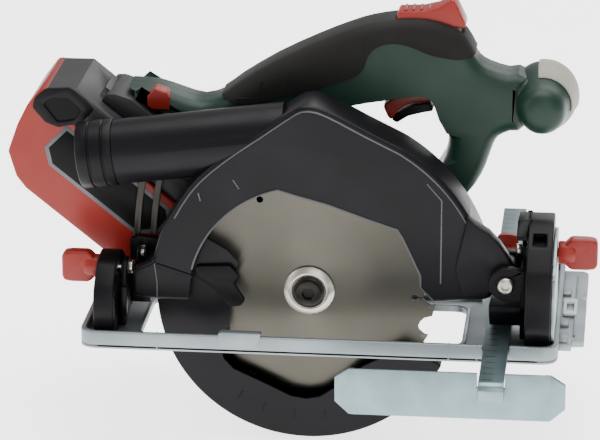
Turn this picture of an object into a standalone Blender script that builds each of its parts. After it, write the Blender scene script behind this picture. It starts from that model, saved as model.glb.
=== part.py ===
"""Cordless circular saw with a 165 mm blade, built as an assembly of separate named pieces.

Units are metres, +Z up. +X points forward, in the cutting direction. +Y points to the motor side.
The origin lies on the sole of the base plate: below the spindle in X, and on the mid-plane of the
handle and the battery pack in Y. Outlines are written in millimetres as (forward, up) from the
point of the sole below the spindle, or as (side, up) from the blade's plane, and placed by helpers.
The saw stands at full depth of cut, square, with the lower guard closed.
"""

import math

import bmesh
import bpy
from mathutils import Matrix, Vector

MM = 0.001
GAP = 0.3 * MM  # clearance between pieces that touch

# Blade and drive
BLADE_PLANE = -62.0 * MM  # Y of the blade's mid-plane
BLADE_RADIUS = 82.5 * MM
BLADE_THICKNESS = 1.6 * MM
BLADE_BORE_RADIUS = 10.0 * MM
BLADE_TEETH = 24
LOCK_SIDE = 39.5 * MM  # spindle lock's axis, from the blade's plane
SLOT_HOLE_RADIUS = 68.8 * MM  # distance of the expansion slots' round ends from the spindle
DEPTH_OF_CUT = 57.0 * MM
SPINDLE_Z = BLADE_RADIUS - DEPTH_OF_CUT
FLANGE_RADIUS = 16.5 * MM
SPINDLE_RADIUS = 5.0 * MM
GEAR_MODULE = 1.0 * MM
SPINDLE_GEAR_TEETH = 36
PINION_TEETH = 10
GEAR_DISTANCE = GEAR_MODULE * (SPINDLE_GEAR_TEETH + PINION_TEETH) / 2
MOTOR_ANGLE = math.radians(121.5)  # direction from the spindle to the motor's axis
MOTOR_RADIUS = 32.5 * MM
MOTOR_WALL = 2.8 * MM
MOTOR_END = 124.0 * MM  # housing's far end, from the blade's plane

# Base plate
PLATE_REAR = -143.0 * MM
PLATE_FRONT = 163.0 * MM
PLATE_NEAR = -54.0 * MM  # from the blade's plane
PLATE_WIDTH = 180.0 * MM
PLATE_THICKNESS = 3.0 * MM
RIM_HEIGHT = 11.5 * MM
RIM_WIDTH = 3.6 * MM
NOSE_LENGTH = 16.0 * MM

# Joint axes
BEVEL_SIDE = -18.0 * MM  # bevel axis, from the blade's plane
BEVEL_Z = 9.0 * MM
DEPTH_X = 128.7 * MM
DEPTH_Z = 45.2 * MM
DEPTH_ARC_RADIUS = 238.5 * MM
FRONT_BOLT_Z = 57.7 * MM
FRONT_BOLT_SIDE = -1.5 * MM
REAR_BOLT_Z = 39.9 * MM
REAR_BOLT_SIDE = -7.5 * MM
BEVEL_RANGE = 45.0
DEPTH_RANGE = 20.0
BOLT_RADIUS = 3.0 * MM
CAM_SIDE = 6.3 * MM  # axis of the depth lever's cam, from the blade's plane

# Guards
GUARD_NEAR = -20.0 * MM
GUARD_FAR = 17.0 * MM
GUARD_WALL = 2.5 * MM
GUARD_FRONT_RADIUS = 119.0 * MM
GUARD_REAR_RADIUS = 105.0 * MM
LOWER_GUARD_RADIUS = 98.0 * MM
LOWER_GUARD_HALF = 12.5 * MM
LOWER_GUARD_WALL = 2.0 * MM
HUB_RADIUS = 16.7 * MM
CHUTE_RADIUS = 21.0 * MM
CHUTE_SIDE = -4.0 * MM

# Handle and battery
HANDLE_SIDE = 62.0 * MM  # handle's mid-plane, from the blade's plane
HANDLE_WIDTH = 38.0 * MM
HANDLE_ROUND = 8.0 * MM
KNOB_X = 147.0 * MM
KNOB_Z = 141.0 * MM
KNOB_RADIUS = 22.0 * MM
KNOB_LENGTH = 76.0 * MM
PACK_WIDTH = 76.0 * MM
PACK_ANGLE = math.radians(-39.0)  # slope of the pack's long side
PACK_LENGTH = 124.0 * MM

# Parallel guide
ARM_X = 124.0 * MM
ARM_WIDTH = 16.0 * MM
ARM_BOTTOM = 7.5 * MM
ARM_THICKNESS = 2.5 * MM
ARM_FAR_END = 226.0 * MM
FENCE_SIDE = -113.0 * MM
FENCE_BOTTOM = -14.0 * MM
FENCE_TOP = 16.0 * MM

COLOURS = {
    "housing_green": ((0.014, 0.055, 0.040), 0.42, 0.0),
    "rubber_black": ((0.020, 0.020, 0.022), 0.75, 0.0),
    "guard_black": ((0.018, 0.018, 0.022), 0.45, 0.0),
    "signal_red": ((0.50, 0.045, 0.030), 0.40, 0.0),
    "trigger_red": ((0.16, 0.010, 0.010), 0.45, 0.0),
    "pack_grey": ((0.050, 0.050, 0.052), 0.50, 0.0),
    "cap_grey": ((0.30, 0.30, 0.28), 0.70, 0.0),
    "cast_aluminium": ((0.42, 0.45, 0.46), 0.45, 1.0),
    "zinc_steel": ((0.50, 0.56, 0.58), 0.35, 1.0),
    "blade_steel": ((0.36, 0.34, 0.31), 0.32, 1.0),
    "bright_steel": ((0.55, 0.55, 0.55), 0.28, 1.0),
    "dark_steel": ((0.05, 0.05, 0.05), 0.40, 1.0),
    "gear_case": ((0.30, 0.31, 0.32), 0.50, 1.0),
    "copper": ((0.55, 0.22, 0.09), 0.35, 1.0),
    "board_green": ((0.02, 0.12, 0.05), 0.50, 0.0),
    "insert_white": ((0.70, 0.70, 0.68), 0.50, 0.0),
}


# ---------------------------------------------------------------- scene and helpers


def clear_scene():
    """Remove every object the file starts with."""
    for item in list(bpy.data.objects):
        bpy.data.objects.remove(item, do_unlink=True)


def make_collection(name, helper=False):
    """A collection linked to the scene; helper ones are left out of renders."""
    made = bpy.data.collections.new(name)
    bpy.context.scene.collection.children.link(made)
    made.hide_render = helper
    return made


clear_scene()
PARTS = make_collection("circular_saw")
CUTTERS = make_collection("circular_saw_cutters", helper=True)
MATERIALS = {}


def material(name):
    """The Principled material of this name, made on first use."""
    if name not in MATERIALS:
        colour, roughness, metallic = COLOURS[name]
        made = bpy.data.materials.new(name)
        made.use_nodes = True
        shader = made.node_tree.nodes["Principled BSDF"]
        shader.inputs["Base Color"].default_value = (*colour, 1.0)
        shader.inputs["Roughness"].default_value = roughness
        shader.inputs["Metallic"].default_value = metallic
        MATERIALS[name] = made
    return MATERIALS[name]


def place(item, look):
    """Link an object as a piece with a material, or as a hidden cutter when look is None."""
    if look is None:
        CUTTERS.objects.link(item)
        item.hide_render = True
        item.display_type = "WIRE"
    else:
        PARTS.objects.link(item)
        item.data.materials.clear()
        item.data.materials.append(material(look))
    return item


def side(distance):
    """Y of a point that lies this far from the blade's plane."""
    return BLADE_PLANE + distance


def points(*pairs):
    """Millimetre pairs as metres."""
    return [(a * MM, b * MM) for a, b in pairs]


def circle(x, y, radius, count=32, start=0.0):
    """Points on a full circle."""
    turn = 2 * math.pi / count
    return [
        (x + radius * math.cos(start + turn * i), y + radius * math.sin(start + turn * i))
        for i in range(count)
    ]


def arc(x, y, radius, first, last, count):
    """Points on an arc, angles in degrees."""
    step = (last - first) / (count - 1)
    angles = [math.radians(first + step * i) for i in range(count)]
    return [(x + radius * math.cos(a), y + radius * math.sin(a)) for a in angles]


def rounded(outline, radius, steps=4):
    """The outline with each corner rounded, by as much as its sides allow."""
    made = []
    count = len(outline)
    for i, corner in enumerate(outline):
        here = Vector(corner)
        before = Vector(outline[i - 1]) - here
        after = Vector(outline[(i + 1) % count]) - here
        reach = min(radius, before.length * 0.45, after.length * 0.45)
        first = here + before.normalized() * reach
        last = here + after.normalized() * reach
        for k in range(steps + 1):
            t = k / steps
            spot = first * (1 - t) ** 2 + here * 2 * t * (1 - t) + last * t**2
            made.append((spot.x, spot.y))
    return made


def rectangle(low, high):
    """The four corners of an upright rectangle."""
    return [(low[0], low[1]), (high[0], low[1]), (high[0], high[1]), (low[0], high[1])]


def arc_slot(x, y, radius, half, first, last, count=10):
    """Outline of a curved slot with round ends, angles in degrees."""
    start = math.radians(first)
    end = math.radians(last)
    outer = arc(x, y, radius + half, first, last, count)
    inner = arc(x, y, radius - half, last, first, count)
    far = (x + radius * math.cos(end), y + radius * math.sin(end))
    near = (x + radius * math.cos(start), y + radius * math.sin(start))
    far_end = arc(*far, half, last, last + 180, 6)[1:-1]
    near_end = arc(*near, half, first + 180, first + 360, 6)[1:-1]
    return outer + far_end + inner + near_end


def winding(outline):
    """Signed area of an outline: positive when it runs anticlockwise."""
    pairs = zip(outline, outline[1:] + outline[:1])
    return sum(x0 * y1 - x1 * y0 for (x0, y0), (x1, y1) in pairs) / 2


TURNS = {
    "X": Matrix(((0, 0, 1), (1, 0, 0), (0, 1, 0))),  # outline in (Y, Z), thickness along X
    "Y": Matrix(((1, 0, 0), (0, 0, -1), (0, 1, 0))),  # outline in (X, Z), thickness along Y
    "Z": Matrix.Identity(3),  # outline in (X, Y), thickness along Z
}


def to_mesh_object(item, look):
    """The object's evaluated shape as a mesh object that stands where it stood."""
    bpy.context.view_layer.update()
    graph = bpy.context.evaluated_depsgraph_get()
    mesh = bpy.data.meshes.new_from_object(item.evaluated_get(graph))
    shape = bmesh.new()
    shape.from_mesh(mesh)
    bmesh.ops.remove_doubles(shape, verts=shape.verts, dist=0.000002)
    bmesh.ops.recalc_face_normals(shape, faces=shape.faces)
    if shape.calc_volume(signed=True) < 0:
        bmesh.ops.reverse_faces(shape, faces=shape.faces)
    shape.to_mesh(mesh)
    shape.free()
    name, matrix = item.name, item.matrix_world.copy()
    bpy.data.objects.remove(item, do_unlink=True)
    made = bpy.data.objects.new(name, mesh)
    made.matrix_world = matrix
    return place(made, look)


def flat(name, outlines, low, high, axis, look, roundness=0.0, steps=2):
    """A plate: outlines (the first is the edge, any others are holes) between two heights on an axis."""
    curve = bpy.data.curves.new(name, "CURVE")
    curve.dimensions = "2D"
    curve.fill_mode = "BOTH"
    curve.extrude = (high - low) / 2 - roundness
    curve.bevel_depth = roundness
    curve.offset = -roundness
    curve.bevel_resolution = steps
    for index, outline in enumerate(outlines):
        if (winding(outline) > 0) == (index > 0):
            outline = list(reversed(outline))
        spline = curve.splines.new("POLY")
        spline.points.add(len(outline) - 1)
        for point, (a, b) in zip(spline.points, outline):
            point.co = (a, b, 0.0, 1.0)
        spline.use_cyclic_u = True
    item = bpy.data.objects.new(name, curve)
    bpy.context.scene.collection.objects.link(item)
    spot = {"X": (1, 0, 0), "Y": (0, 1, 0), "Z": (0, 0, 1)}[axis]
    centre = Vector(spot) * (low + high) / 2
    item.matrix_world = Matrix.Translation(centre) @ TURNS[axis].to_4x4()
    return to_mesh_object(item, look)


def upright(name, outlines, low, high, look, **options):
    """A plate parallel to the blade, between two distances from the blade's plane."""
    return flat(name, outlines, side(low), side(high), "Y", look, **options)


def crosswise(name, outlines, low, high, look, **options):
    """A plate across the saw; its outlines are (distance from the blade's plane, height)."""
    moved = [[(side(a), b) for a, b in outline] for outline in outlines]
    return flat(name, moved, low, high, "X", look, **options)


def level(name, outlines, low, high, look, **options):
    """A level plate; its outlines are (forward, distance from the blade's plane)."""
    moved = [[(a, side(b)) for a, b in outline] for outline in outlines]
    return flat(name, moved, low, high, "Z", look, **options)


def box(name, low, high, look, bevel=0.0):
    """A block between two corners given as (X, distance from the blade's plane, Z)."""
    shape = bmesh.new()
    bmesh.ops.create_cube(shape, size=1.0)
    size = [b - a for a, b in zip(low, high)]
    bmesh.ops.scale(shape, vec=size, verts=shape.verts)
    mesh = bpy.data.meshes.new(name)
    shape.to_mesh(mesh)
    shape.free()
    item = bpy.data.objects.new(name, mesh)
    middle = [(a + b) / 2 for a, b in zip(low, high)]
    item.location = (middle[0], side(middle[1]), middle[2])
    place(item, look)
    if bevel:
        add_bevel(item, bevel)
    return item


LATHE_TURNS = {
    "X": Matrix(((0, 0, 1), (0, 1, 0), (-1, 0, 0))),
    "Y": Matrix(((1, 0, 0), (0, 0, 1), (0, -1, 0))),
    "Z": Matrix.Identity(3),
}


def turned(name, profile, centre, axis, look, steps=32):
    """A turned solid: profile points are (radius, distance along the axis from the centre)."""
    area = 0.0
    for (r0, h0), (r1, h1) in zip(profile, profile[1:] + profile[:1]):
        area += r0 * h1 - r1 * h0
    ordered = list(reversed(profile)) if area > 0 else list(profile)
    solid = profile[0][0] == 0.0 and profile[-1][0] == 0.0
    edges = [(i, i + 1) for i in range(len(ordered) - 1)]
    if not solid:
        edges.append((len(ordered) - 1, 0))
    mesh = bpy.data.meshes.new(name)
    mesh.from_pydata([(r, 0.0, h) for r, h in ordered], edges, [])
    item = bpy.data.objects.new(name, mesh)
    item.matrix_world = Matrix.Translation(centre) @ LATHE_TURNS[axis].to_4x4()
    screw = item.modifiers.new("Turn", "SCREW")
    screw.axis = "Z"
    screw.steps = steps
    screw.render_steps = steps
    screw.use_merge_vertices = True
    screw.merge_threshold = 0.00001
    screw.use_normal_calculate = True
    bpy.context.scene.collection.objects.link(item)
    return to_mesh_object(item, look)


def spot_at(x, from_blade, z):
    """A point from its X, its distance from the blade's plane and its Z."""
    return Vector((x, side(from_blade), z))


def cylinder(name, radius, low, high, centre, axis, look, steps=24):
    """A plain cylinder; centre is a point on its axis from which low and high are measured."""
    profile = [(0.0, high), (radius, high), (radius, low), (0.0, low)]
    return turned(name, profile, centre, axis, look, steps)


def combine(item, other, operation="DIFFERENCE", solver="EXACT"):
    """Add a Boolean with another object, which is moved among the cutters."""
    for holder in list(other.users_collection):
        holder.objects.unlink(other)
    CUTTERS.objects.link(other)
    other.hide_render = True
    other.display_type = "WIRE"
    boolean = item.modifiers.new(other.name, "BOOLEAN")
    boolean.operation = operation
    boolean.object = other
    boolean.solver = solver
    return item


def carve(item, other):
    """Cut with the solver that copes with these long rounded shells, where the exact one fails."""
    return combine(item, other, "DIFFERENCE", "MANIFOLD")


def add_bevel(item, width, segments=2, angle=35.0):
    """Round the sharp edges of an object."""
    bevel = item.modifiers.new("Round", "BEVEL")
    bevel.width = width
    bevel.segments = segments
    bevel.limit_method = "ANGLE"
    bevel.angle_limit = math.radians(angle)
    return item


def smooth(item, angle=40.0):
    """Shade a round piece smooth, keeping its sharp edges."""
    item.data.shade_smooth()
    item.data.set_sharp_from_angle(angle=math.radians(angle))
    return item


def pivot(name, location, *items):
    """Parent pieces to an empty that stands on their joint's axis."""
    empty = bpy.data.objects.new(name, None)
    empty.empty_display_size = 0.02
    empty.location = location
    PARTS.objects.link(empty)
    bpy.context.view_layer.update()
    for item in items:
        item.parent = empty
        item.matrix_parent_inverse = empty.matrix_world.inverted()
    return empty


def screw_profile(head_radius, head_height, shank_radius, shank_length, socket=0.0):
    """Profile of a screw whose head stands above zero and whose shank goes below it."""
    outer = [
        (head_radius * 0.9, head_height),
        (head_radius, head_height * 0.8),
        (head_radius, 0.0),
        (shank_radius, 0.0),
        (shank_radius, -shank_length),
        (0.0, -shank_length),
    ]
    if socket:
        return [(0.0, head_height * 0.45), (socket, head_height * 0.45), (socket, head_height)] + outer
    return [(0.0, head_height)] + outer


SPINDLE = spot_at(0.0, 0.0, SPINDLE_Z)
MOTOR_X = GEAR_DISTANCE * math.cos(MOTOR_ANGLE)
MOTOR_Z = SPINDLE_Z + GEAR_DISTANCE * math.sin(MOTOR_ANGLE)
MOTOR = spot_at(MOTOR_X, 0.0, MOTOR_Z)
DEPTH_PIVOT = spot_at(DEPTH_X, 0.0, DEPTH_Z)


# ---------------------------------------------------------------- base


def bevel_slot(bolt_side, bolt_z, half):
    """Curved slot of a quadrant about the bevel axis, from the square position to full bevel."""
    radius = math.hypot(bolt_side - BEVEL_SIDE, bolt_z - BEVEL_Z)
    start = math.degrees(math.atan2(bolt_z - BEVEL_Z, bolt_side - BEVEL_SIDE))
    return arc_slot(BEVEL_SIDE, BEVEL_Z, radius, half, start - 1.0, start + BEVEL_RANGE + 1.0)


def build_base_plate():
    """Cast plate with a rim, the blade's opening, a nose with a sight notch, ribs and a guide boss."""
    far = PLATE_NEAR + PLATE_WIDTH
    edge = rounded(rectangle((PLATE_REAR, PLATE_NEAR), (PLATE_FRONT, far)), 11 * MM, 4)
    inner_low = (PLATE_REAR + RIM_WIDTH, PLATE_NEAR + RIM_WIDTH)
    inner_high = (PLATE_FRONT - RIM_WIDTH, far - RIM_WIDTH)
    inner = rounded(rectangle(inner_low, inner_high), 8 * MM, 3)
    slot = rounded(points((-106, -36), (101, -36), (101, 36.5), (-106, 36.5)), 9 * MM, 3)
    plate = level("base_plate", [edge, slot], 0.0, RIM_HEIGHT, "cast_aluminium")
    tray = level("base_tray_cut", [inner], PLATE_THICKNESS, RIM_HEIGHT + 5 * MM, None)
    combine(plate, tray)
    front = PLATE_FRONT + NOSE_LENGTH
    nose_outline = points((158, -28), (171, -28), (171, -21), (179, -20), (179, 54))
    nose_outline += points((173.5, 60), (179, 66), (179, 108), (176, 112), (158, 112))
    nose_outline = [(min(a, front), b) for a, b in nose_outline]
    window = points((166, 28), (171, 28), (171, 46), (166, 46))
    nose = level("base_nose", [nose_outline, window], 0.0, 5 * MM, None)
    combine(plate, nose, "UNION")
    for index, place_at in enumerate((52.0, 82.0, 110.0)):
        low = (-128 * MM, (place_at - 1.5) * MM, PLATE_THICKNESS - 1 * MM)
        high = (110 * MM, (place_at + 1.5) * MM, 6.5 * MM)
        combine(plate, box(f"base_rib_{index + 1}", low, high, None), "UNION")
    low = (ARM_X - 13 * MM, 98 * MM, PLATE_THICKNESS - 1 * MM)
    high = (ARM_X + 13 * MM, 112 * MM, 19 * MM)
    combine(plate, box("base_clamp_boss", low, high, None), "UNION")
    half = ARM_WIDTH / 2 + GAP
    low = (ARM_X - half, -60 * MM, ARM_BOTTOM - GAP)
    combine(plate, box("base_arm_cut_near", low, (ARM_X + half, -45 * MM, 20 * MM), None))
    low = (ARM_X - half, far - 7 * MM, ARM_BOTTOM - GAP)
    combine(plate, box("base_arm_cut_far", low, (ARM_X + half, far + 4 * MM, 20 * MM), None))
    low = (ARM_X - half, 95 * MM, ARM_BOTTOM - GAP)
    high = (ARM_X + half, 115 * MM, ARM_BOTTOM + ARM_THICKNESS + GAP)
    combine(plate, box("base_arm_cut_boss", low, high, None))
    tab = points((-53, 4.5), (-53, 13.2), (-51.5, 14.2), (-26, 14.2), (-25.5, 13.4), (-28, 4.5))
    tab_side = (PLATE_NEAR - 0.9 * MM, PLATE_NEAR + 3 * MM)
    combine(plate, upright("base_rim_tab", [tab], *tab_side, None), "UNION")
    centre = spot_at(ARM_X, 105 * MM, 0.0)
    combine(plate, cylinder("base_clamp_hole", 3.3 * MM, 8 * MM, 25 * MM, centre, "Z", None, 16))
    return plate


def build_front_quadrant():
    """Upright black arch at the front, slotted for the bevel clamp and open to the front."""
    outline = points((22, 3.3), (22, 72), (14, 80), (-10, 82), (-30, 73), (-49, 57), (-52, 45))
    outline += points((-52, 20), (-46, 13), (-46, 3.3))
    slot = bevel_slot(FRONT_BOLT_SIDE, FRONT_BOLT_Z, 3.4 * MM)
    hole = circle(BEVEL_SIDE, BEVEL_Z, 3.3 * MM, 16)
    quadrant = crosswise(
        "front_quadrant", [rounded(outline, 5 * MM, 3), slot, hole], 141.5 * MM, 158 * MM, "guard_black"
    )
    pocket = points((18, 15), (18, 44), (-44, 40), (-44, 20), (-30, 18), (-5, 15))
    cut = crosswise("front_quadrant_pocket", [rounded(pocket, 4 * MM, 2)], 146 * MM, 160 * MM, None)
    combine(quadrant, cut)
    low = (145.5 * MM, -60 * MM, 71.0 * MM)
    high = (153.5 * MM, -12 * MM, 76.5 * MM)
    combine(quadrant, box("front_quadrant_window", low, high, None))
    hood = points((14, 79.5), (-10, 81.5), (-24.6, 75.0))
    hood += arc(BEVEL_SIDE, BEVEL_Z, 63.5 * MM, 96, 62, 8)
    combine(quadrant, crosswise("front_quadrant_hood", [hood], 134.5 * MM, 143 * MM, None), "UNION")
    return quadrant


def build_scale_plate():
    """Pale metal plate on the front quadrant that the front wing knob clamps."""
    outline = points((20, 12), (20, 64), (8, 72), (-12, 73), (-30, 65), (-46, 52), (-49, 42))
    outline += points((-49, 22), (-46, 12))
    slot = bevel_slot(FRONT_BOLT_SIDE, FRONT_BOLT_Z, 3.4 * MM)
    return crosswise("scale_plate", [rounded(outline, 4 * MM, 3), slot], 158.3 * MM, 160.3 * MM, "zinc_steel")


def build_rear_quadrant():
    """Upright black arch at the rear, slotted for the bevel clamp."""
    outline = points((15, 3.3), (15, 35.5), (8, 43.5), (-2, 50), (-12, 53), (-30, 50.5), (-46, 36), (-49, 22))
    outline += points((-46, 13), (-46, 3.3))
    slot = bevel_slot(REAR_BOLT_SIDE, REAR_BOLT_Z, 3.4 * MM)
    hole = circle(BEVEL_SIDE, BEVEL_Z, 3.3 * MM, 16)
    edge = rounded(outline, 5 * MM, 3)
    return crosswise("rear_quadrant", [edge, slot, hole], -134.5 * MM, -121.5 * MM, "guard_black")


def build_cut_indicator():
    """Pale insert on the nose with a sight window."""
    outline = rounded(points((164, 22), (173, 22), (173, 52), (164, 52)), 1.5 * MM, 2)
    window = points((166, 28), (171, 28), (171, 46), (166, 46))
    return level("cut_indicator", [outline, window], 5.3 * MM, 6.9 * MM, "insert_white")


# ---------------------------------------------------------------- parallel guide


def build_guide():
    """Flat arm that bends down at the near end, the fence riveted behind it, and its clamp screw."""
    near = FENCE_SIDE - 3.8 * MM
    half = ARM_WIDTH / 2
    top = ARM_BOTTOM + ARM_THICKNESS
    profile = [(near, -2 * MM), (near + 2.2 * MM, -2 * MM), (near + 2.2 * MM, ARM_BOTTOM)]
    profile += [(ARM_FAR_END, ARM_BOTTOM), (ARM_FAR_END, top), (near + 1.5 * MM, top), (near, top - 1.5 * MM)]
    arm = crosswise("guide_arm", [profile], ARM_X - half, ARM_X + half, "zinc_steel")
    fence_near = FENCE_SIDE - 1.3 * MM
    fence_far = FENCE_SIDE + 1.2 * MM
    notch = half + 0.6 * MM
    outline = points((36, 16), (27, 9), (27, -7), (36, -14), (161, -14), (170, -7), (170, 9), (161, 16))
    outline += [(ARM_X + notch, FENCE_TOP), (ARM_X + notch, ARM_BOTTOM - 0.6 * MM)]
    outline += [(ARM_X - notch, ARM_BOTTOM - 0.6 * MM), (ARM_X - notch, FENCE_TOP)]
    fence = upright("guide_fence", [outline], fence_near, fence_far, "zinc_steel")
    flare_ends(fence, 37 * MM, 160 * MM, 0.32)
    bar = points((-7, 22.5), (7, 22.5), (7.5, 31), (3, 32.5), (-3, 32.5), (-7.5, 31))
    bar = [(a + ARM_X, b) for a, b in bar]
    screw = upright("guide_clamp_screw", [rounded(bar, 2 * MM, 2)], 102.8 * MM, 107.2 * MM, "signal_red")
    centre = spot_at(ARM_X, 105 * MM, 0.0)
    shank = cylinder("guide_clamp_shank", 3.0 * MM, 10.4 * MM, 24 * MM, centre, "Z", None, 16)
    collar = cylinder("guide_clamp_collar", 5.5 * MM, 19.4 * MM, 24 * MM, centre, "Z", None, 20)
    combine(screw, shank, "UNION")
    combine(screw, collar, "UNION")
    pivot("guide_clamp_axis", centre, screw)
    return arm, fence, screw


def flare_ends(item, first, last, slope):
    """Bend both ends of an upright strip towards the blade, beyond the two given X values."""
    shape = bmesh.new()
    shape.from_mesh(item.data)
    to_world = item.matrix_world
    to_local = to_world.inverted()
    for x in (first, last):
        geometry = list(shape.verts) + list(shape.edges) + list(shape.faces)
        normal = to_local.to_3x3() @ Vector((1, 0, 0))
        bmesh.ops.bisect_plane(shape, geom=geometry, plane_co=to_local @ Vector((x, 0, 0)), plane_no=normal)
    for vert in shape.verts:
        spot = to_world @ vert.co
        beyond = max(first - spot.x, spot.x - last, 0.0)
        spot.y += beyond * slope
        vert.co = to_local @ spot
    shape.to_mesh(item.data)
    shape.free()


# ---------------------------------------------------------------- tilting frame


def build_front_hinge_block():
    """Front tilting bracket: a web on the bevel axis with two ears for the depth pivot."""
    web = points((-33, 30), (-33, 54), (-9, 54), (-9, 63), (-5, 66.5), (3, 66.5), (8, 61), (15, 54))
    web += points((15, 30), (3, 15), (-12.5, 9))
    web += arc(BEVEL_SIDE, BEVEL_Z, 5.5 * MM, 0, -180, 7)[1:]
    web += points((-25, 22))
    hole = circle(FRONT_BOLT_SIDE, FRONT_BOLT_Z, BOLT_RADIUS + GAP, 16)
    block = crosswise("front_hinge_block", [web, hole], 137.6 * MM, 141.2 * MM, "guard_black")
    ear = arc(DEPTH_X, DEPTH_Z, 11 * MM, 80, 280, 12) + points((139, 34), (139, 54))
    bore = circle(DEPTH_X, DEPTH_Z, 4.3 * MM, 20)
    combine(block, upright("near_ear", [ear, bore], -33 * MM, -25 * MM, None), "UNION")
    ear = arc(DEPTH_X, DEPTH_Z, 8.5 * MM, 80, 280, 12) + points((139, 37), (139, 53))
    combine(block, upright("far_ear", [ear, bore], 8 * MM, 15 * MM, None), "UNION")
    bridge = points((-33, 27), (-18, 12.5), (15, 12.5), (15, 25), (-33, 31))
    combine(block, crosswise("front_bridge", [bridge], 118 * MM, 138.5 * MM, None), "UNION")
    centre = spot_at(0.0, BEVEL_SIDE, BEVEL_Z)
    stub = cylinder("front_stub", 3.0 * MM, 140 * MM, 146 * MM, centre, "X", None, 16)
    combine(block, stub, "UNION")
    return block


def build_depth_pivot_screw():
    """Socket screw on which the saw unit swings for the depth of cut."""
    profile = screw_profile(5.4 * MM, 4 * MM, 4.0 * MM, 48 * MM, 2.4 * MM)
    profile = [(r, -h) for r, h in profile]
    return smooth(
        turned("depth_pivot_screw", profile, spot_at(DEPTH_X, -33.3 * MM, DEPTH_Z), "Y", "bright_steel", 20)
    )


def build_rear_tilt_bracket():
    """Rear tilting bracket with the foot that holds the depth guide."""
    web = points((-14.5, 40), (-12.5, 45), (-7.5, 47), (-2.5, 45), (0.5, 40), (17.2, 34), (17.2, 9.5))
    web += points((-12.5, 7))
    web += arc(BEVEL_SIDE, BEVEL_Z, 5.5 * MM, -20, -200, 8)
    hole = circle(REAR_BOLT_SIDE, REAR_BOLT_Z, BOLT_RADIUS + GAP, 16)
    bracket = crosswise("rear_tilt_bracket", [web, hole], -121.2 * MM, -117.7 * MM, "guard_black")
    foot = points((-119, 9.5), (-105.5, 9.5), (-105.5, 30), (-119, 34))
    foot = upright("rear_foot", [foot], 9 * MM, 17.2 * MM, None)
    combine(bracket, foot, "UNION")
    rod = box("rear_rod", (-119.5 * MM, -29 * MM, 13 * MM), (-115.5 * MM, -23.6 * MM, 33 * MM), None)
    combine(bracket, rod, "UNION")
    link = box("rear_rod_link", (-120.5 * MM, -27 * MM, 20 * MM), (-117.8 * MM, -14 * MM, 26 * MM), None)
    combine(bracket, link, "UNION")
    centre = spot_at(0.0, BEVEL_SIDE, BEVEL_Z)
    stub = cylinder("rear_stub", 3.0 * MM, -126 * MM, -120 * MM, centre, "X", None, 16)
    combine(bracket, stub, "UNION")
    return bracket


def build_depth_guide():
    """Steel strip curved about the depth pivot, slotted for the depth clamp."""
    top = 180.6 - DEPTH_RANGE - 1.2
    outer = arc(DEPTH_X, DEPTH_Z, DEPTH_ARC_RADIUS + 7.5 * MM, 188.6, top, 14)
    turn = math.radians(top)
    x, z = DEPTH_X + DEPTH_ARC_RADIUS * math.cos(turn), DEPTH_Z + DEPTH_ARC_RADIUS * math.sin(turn)
    end = arc(x, z, 7.5 * MM, top, top - 180, 8)[1:-1]
    inner = arc(DEPTH_X, DEPTH_Z, DEPTH_ARC_RADIUS - 7.5 * MM, top, 188.6, 14)
    slot = arc_slot(DEPTH_X, DEPTH_Z, DEPTH_ARC_RADIUS, 3.3 * MM, top, 180.6, 12)
    return upright("depth_guide", [outer + end + inner, slot], 17.5 * MM, 19.5 * MM, "dark_steel")


def bevel_bolt(name, tip, head_at, from_blade, z):
    """Bolt of a bevel clamp: its head inside the bracket, its tip in the wing knob."""
    way = 1.0 if tip > head_at else -1.0
    length = abs(tip - head_at)
    profile = screw_profile(4.8 * MM, 3.6 * MM, BOLT_RADIUS, length)
    profile = [(r, -h * way) for r, h in profile]
    return smooth(turned(name, profile, spot_at(head_at, from_blade, z), "X", "bright_steel", 16))


def wing_knob(name, root, tip, from_blade, z):
    """Wing knob: a round neck at the bolt and a flat tapering wing."""
    way = 1.0 if tip > root else -1.0
    wing = [(root + way * 4 * MM, 6.5 * MM), (root + way * 8 * MM, 10.5 * MM), (tip - way * 2 * MM, 10.5 * MM)]
    wing += [(tip, 8.5 * MM), (tip, -8.5 * MM), (tip - way * 2 * MM, -10.5 * MM)]
    wing += [(root + way * 8 * MM, -10.5 * MM), (root + way * 4 * MM, -6.5 * MM)]
    wing = [(a, b + z) for a, b in wing]
    low, high = from_blade - 4.5 * MM, from_blade + 4.5 * MM
    knob = upright(name, [rounded(wing, 3 * MM, 3)], low, high, "signal_red", roundness=1.5 * MM, steps=1)
    centre = spot_at(0.0, from_blade, z)
    ends = sorted((root, root + way * 12 * MM))
    neck = cylinder(f"{name}_neck", 7.5 * MM, *ends, centre, "X", None, 24)
    combine(knob, neck, "UNION")
    ends = sorted((root - way * 2 * MM, root + way * 14.5 * MM))
    combine(knob, cylinder(f"{name}_bore", BOLT_RADIUS + GAP, *ends, centre, "X", None, 16))
    pivot(f"{name}_axis", centre + Vector((root, 0, 0)), knob)
    return knob


# ---------------------------------------------------------------- saw unit: guard and drive housing


def guard_outline(shrink):
    """Outline of the scroll-shaped upper guard, smaller by a wall thickness."""
    front = GUARD_FRONT_RADIUS - shrink
    rear = GUARD_REAR_RADIUS - shrink
    outline = arc(0.0, SPINDLE_Z, front, 3.5, 62, 14)
    for angle, extra in ((70, 2.0), (78, 5.0), (86, 9.0), (93, 11.5)):
        reach = front + extra * MM
        turn = math.radians(angle)
        outline.append((reach * math.cos(turn), SPINDLE_Z + reach * math.sin(turn)))
    outline += [(-40 * MM, 151 * MM - shrink), (-62 * MM, 147.0 * MM - shrink)]
    outline += [(-64 * MM + shrink, 109 * MM)]
    outline += arc(0.0, SPINDLE_Z, rear, 130, 172, 9)
    return outline


def chute_axis():
    """Start and end of the dust chute's centre line."""
    return spot_at(-52 * MM, CHUTE_SIDE, 126.5 * MM), spot_at(-148 * MM, CHUTE_SIDE, 113.8 * MM)


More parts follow.
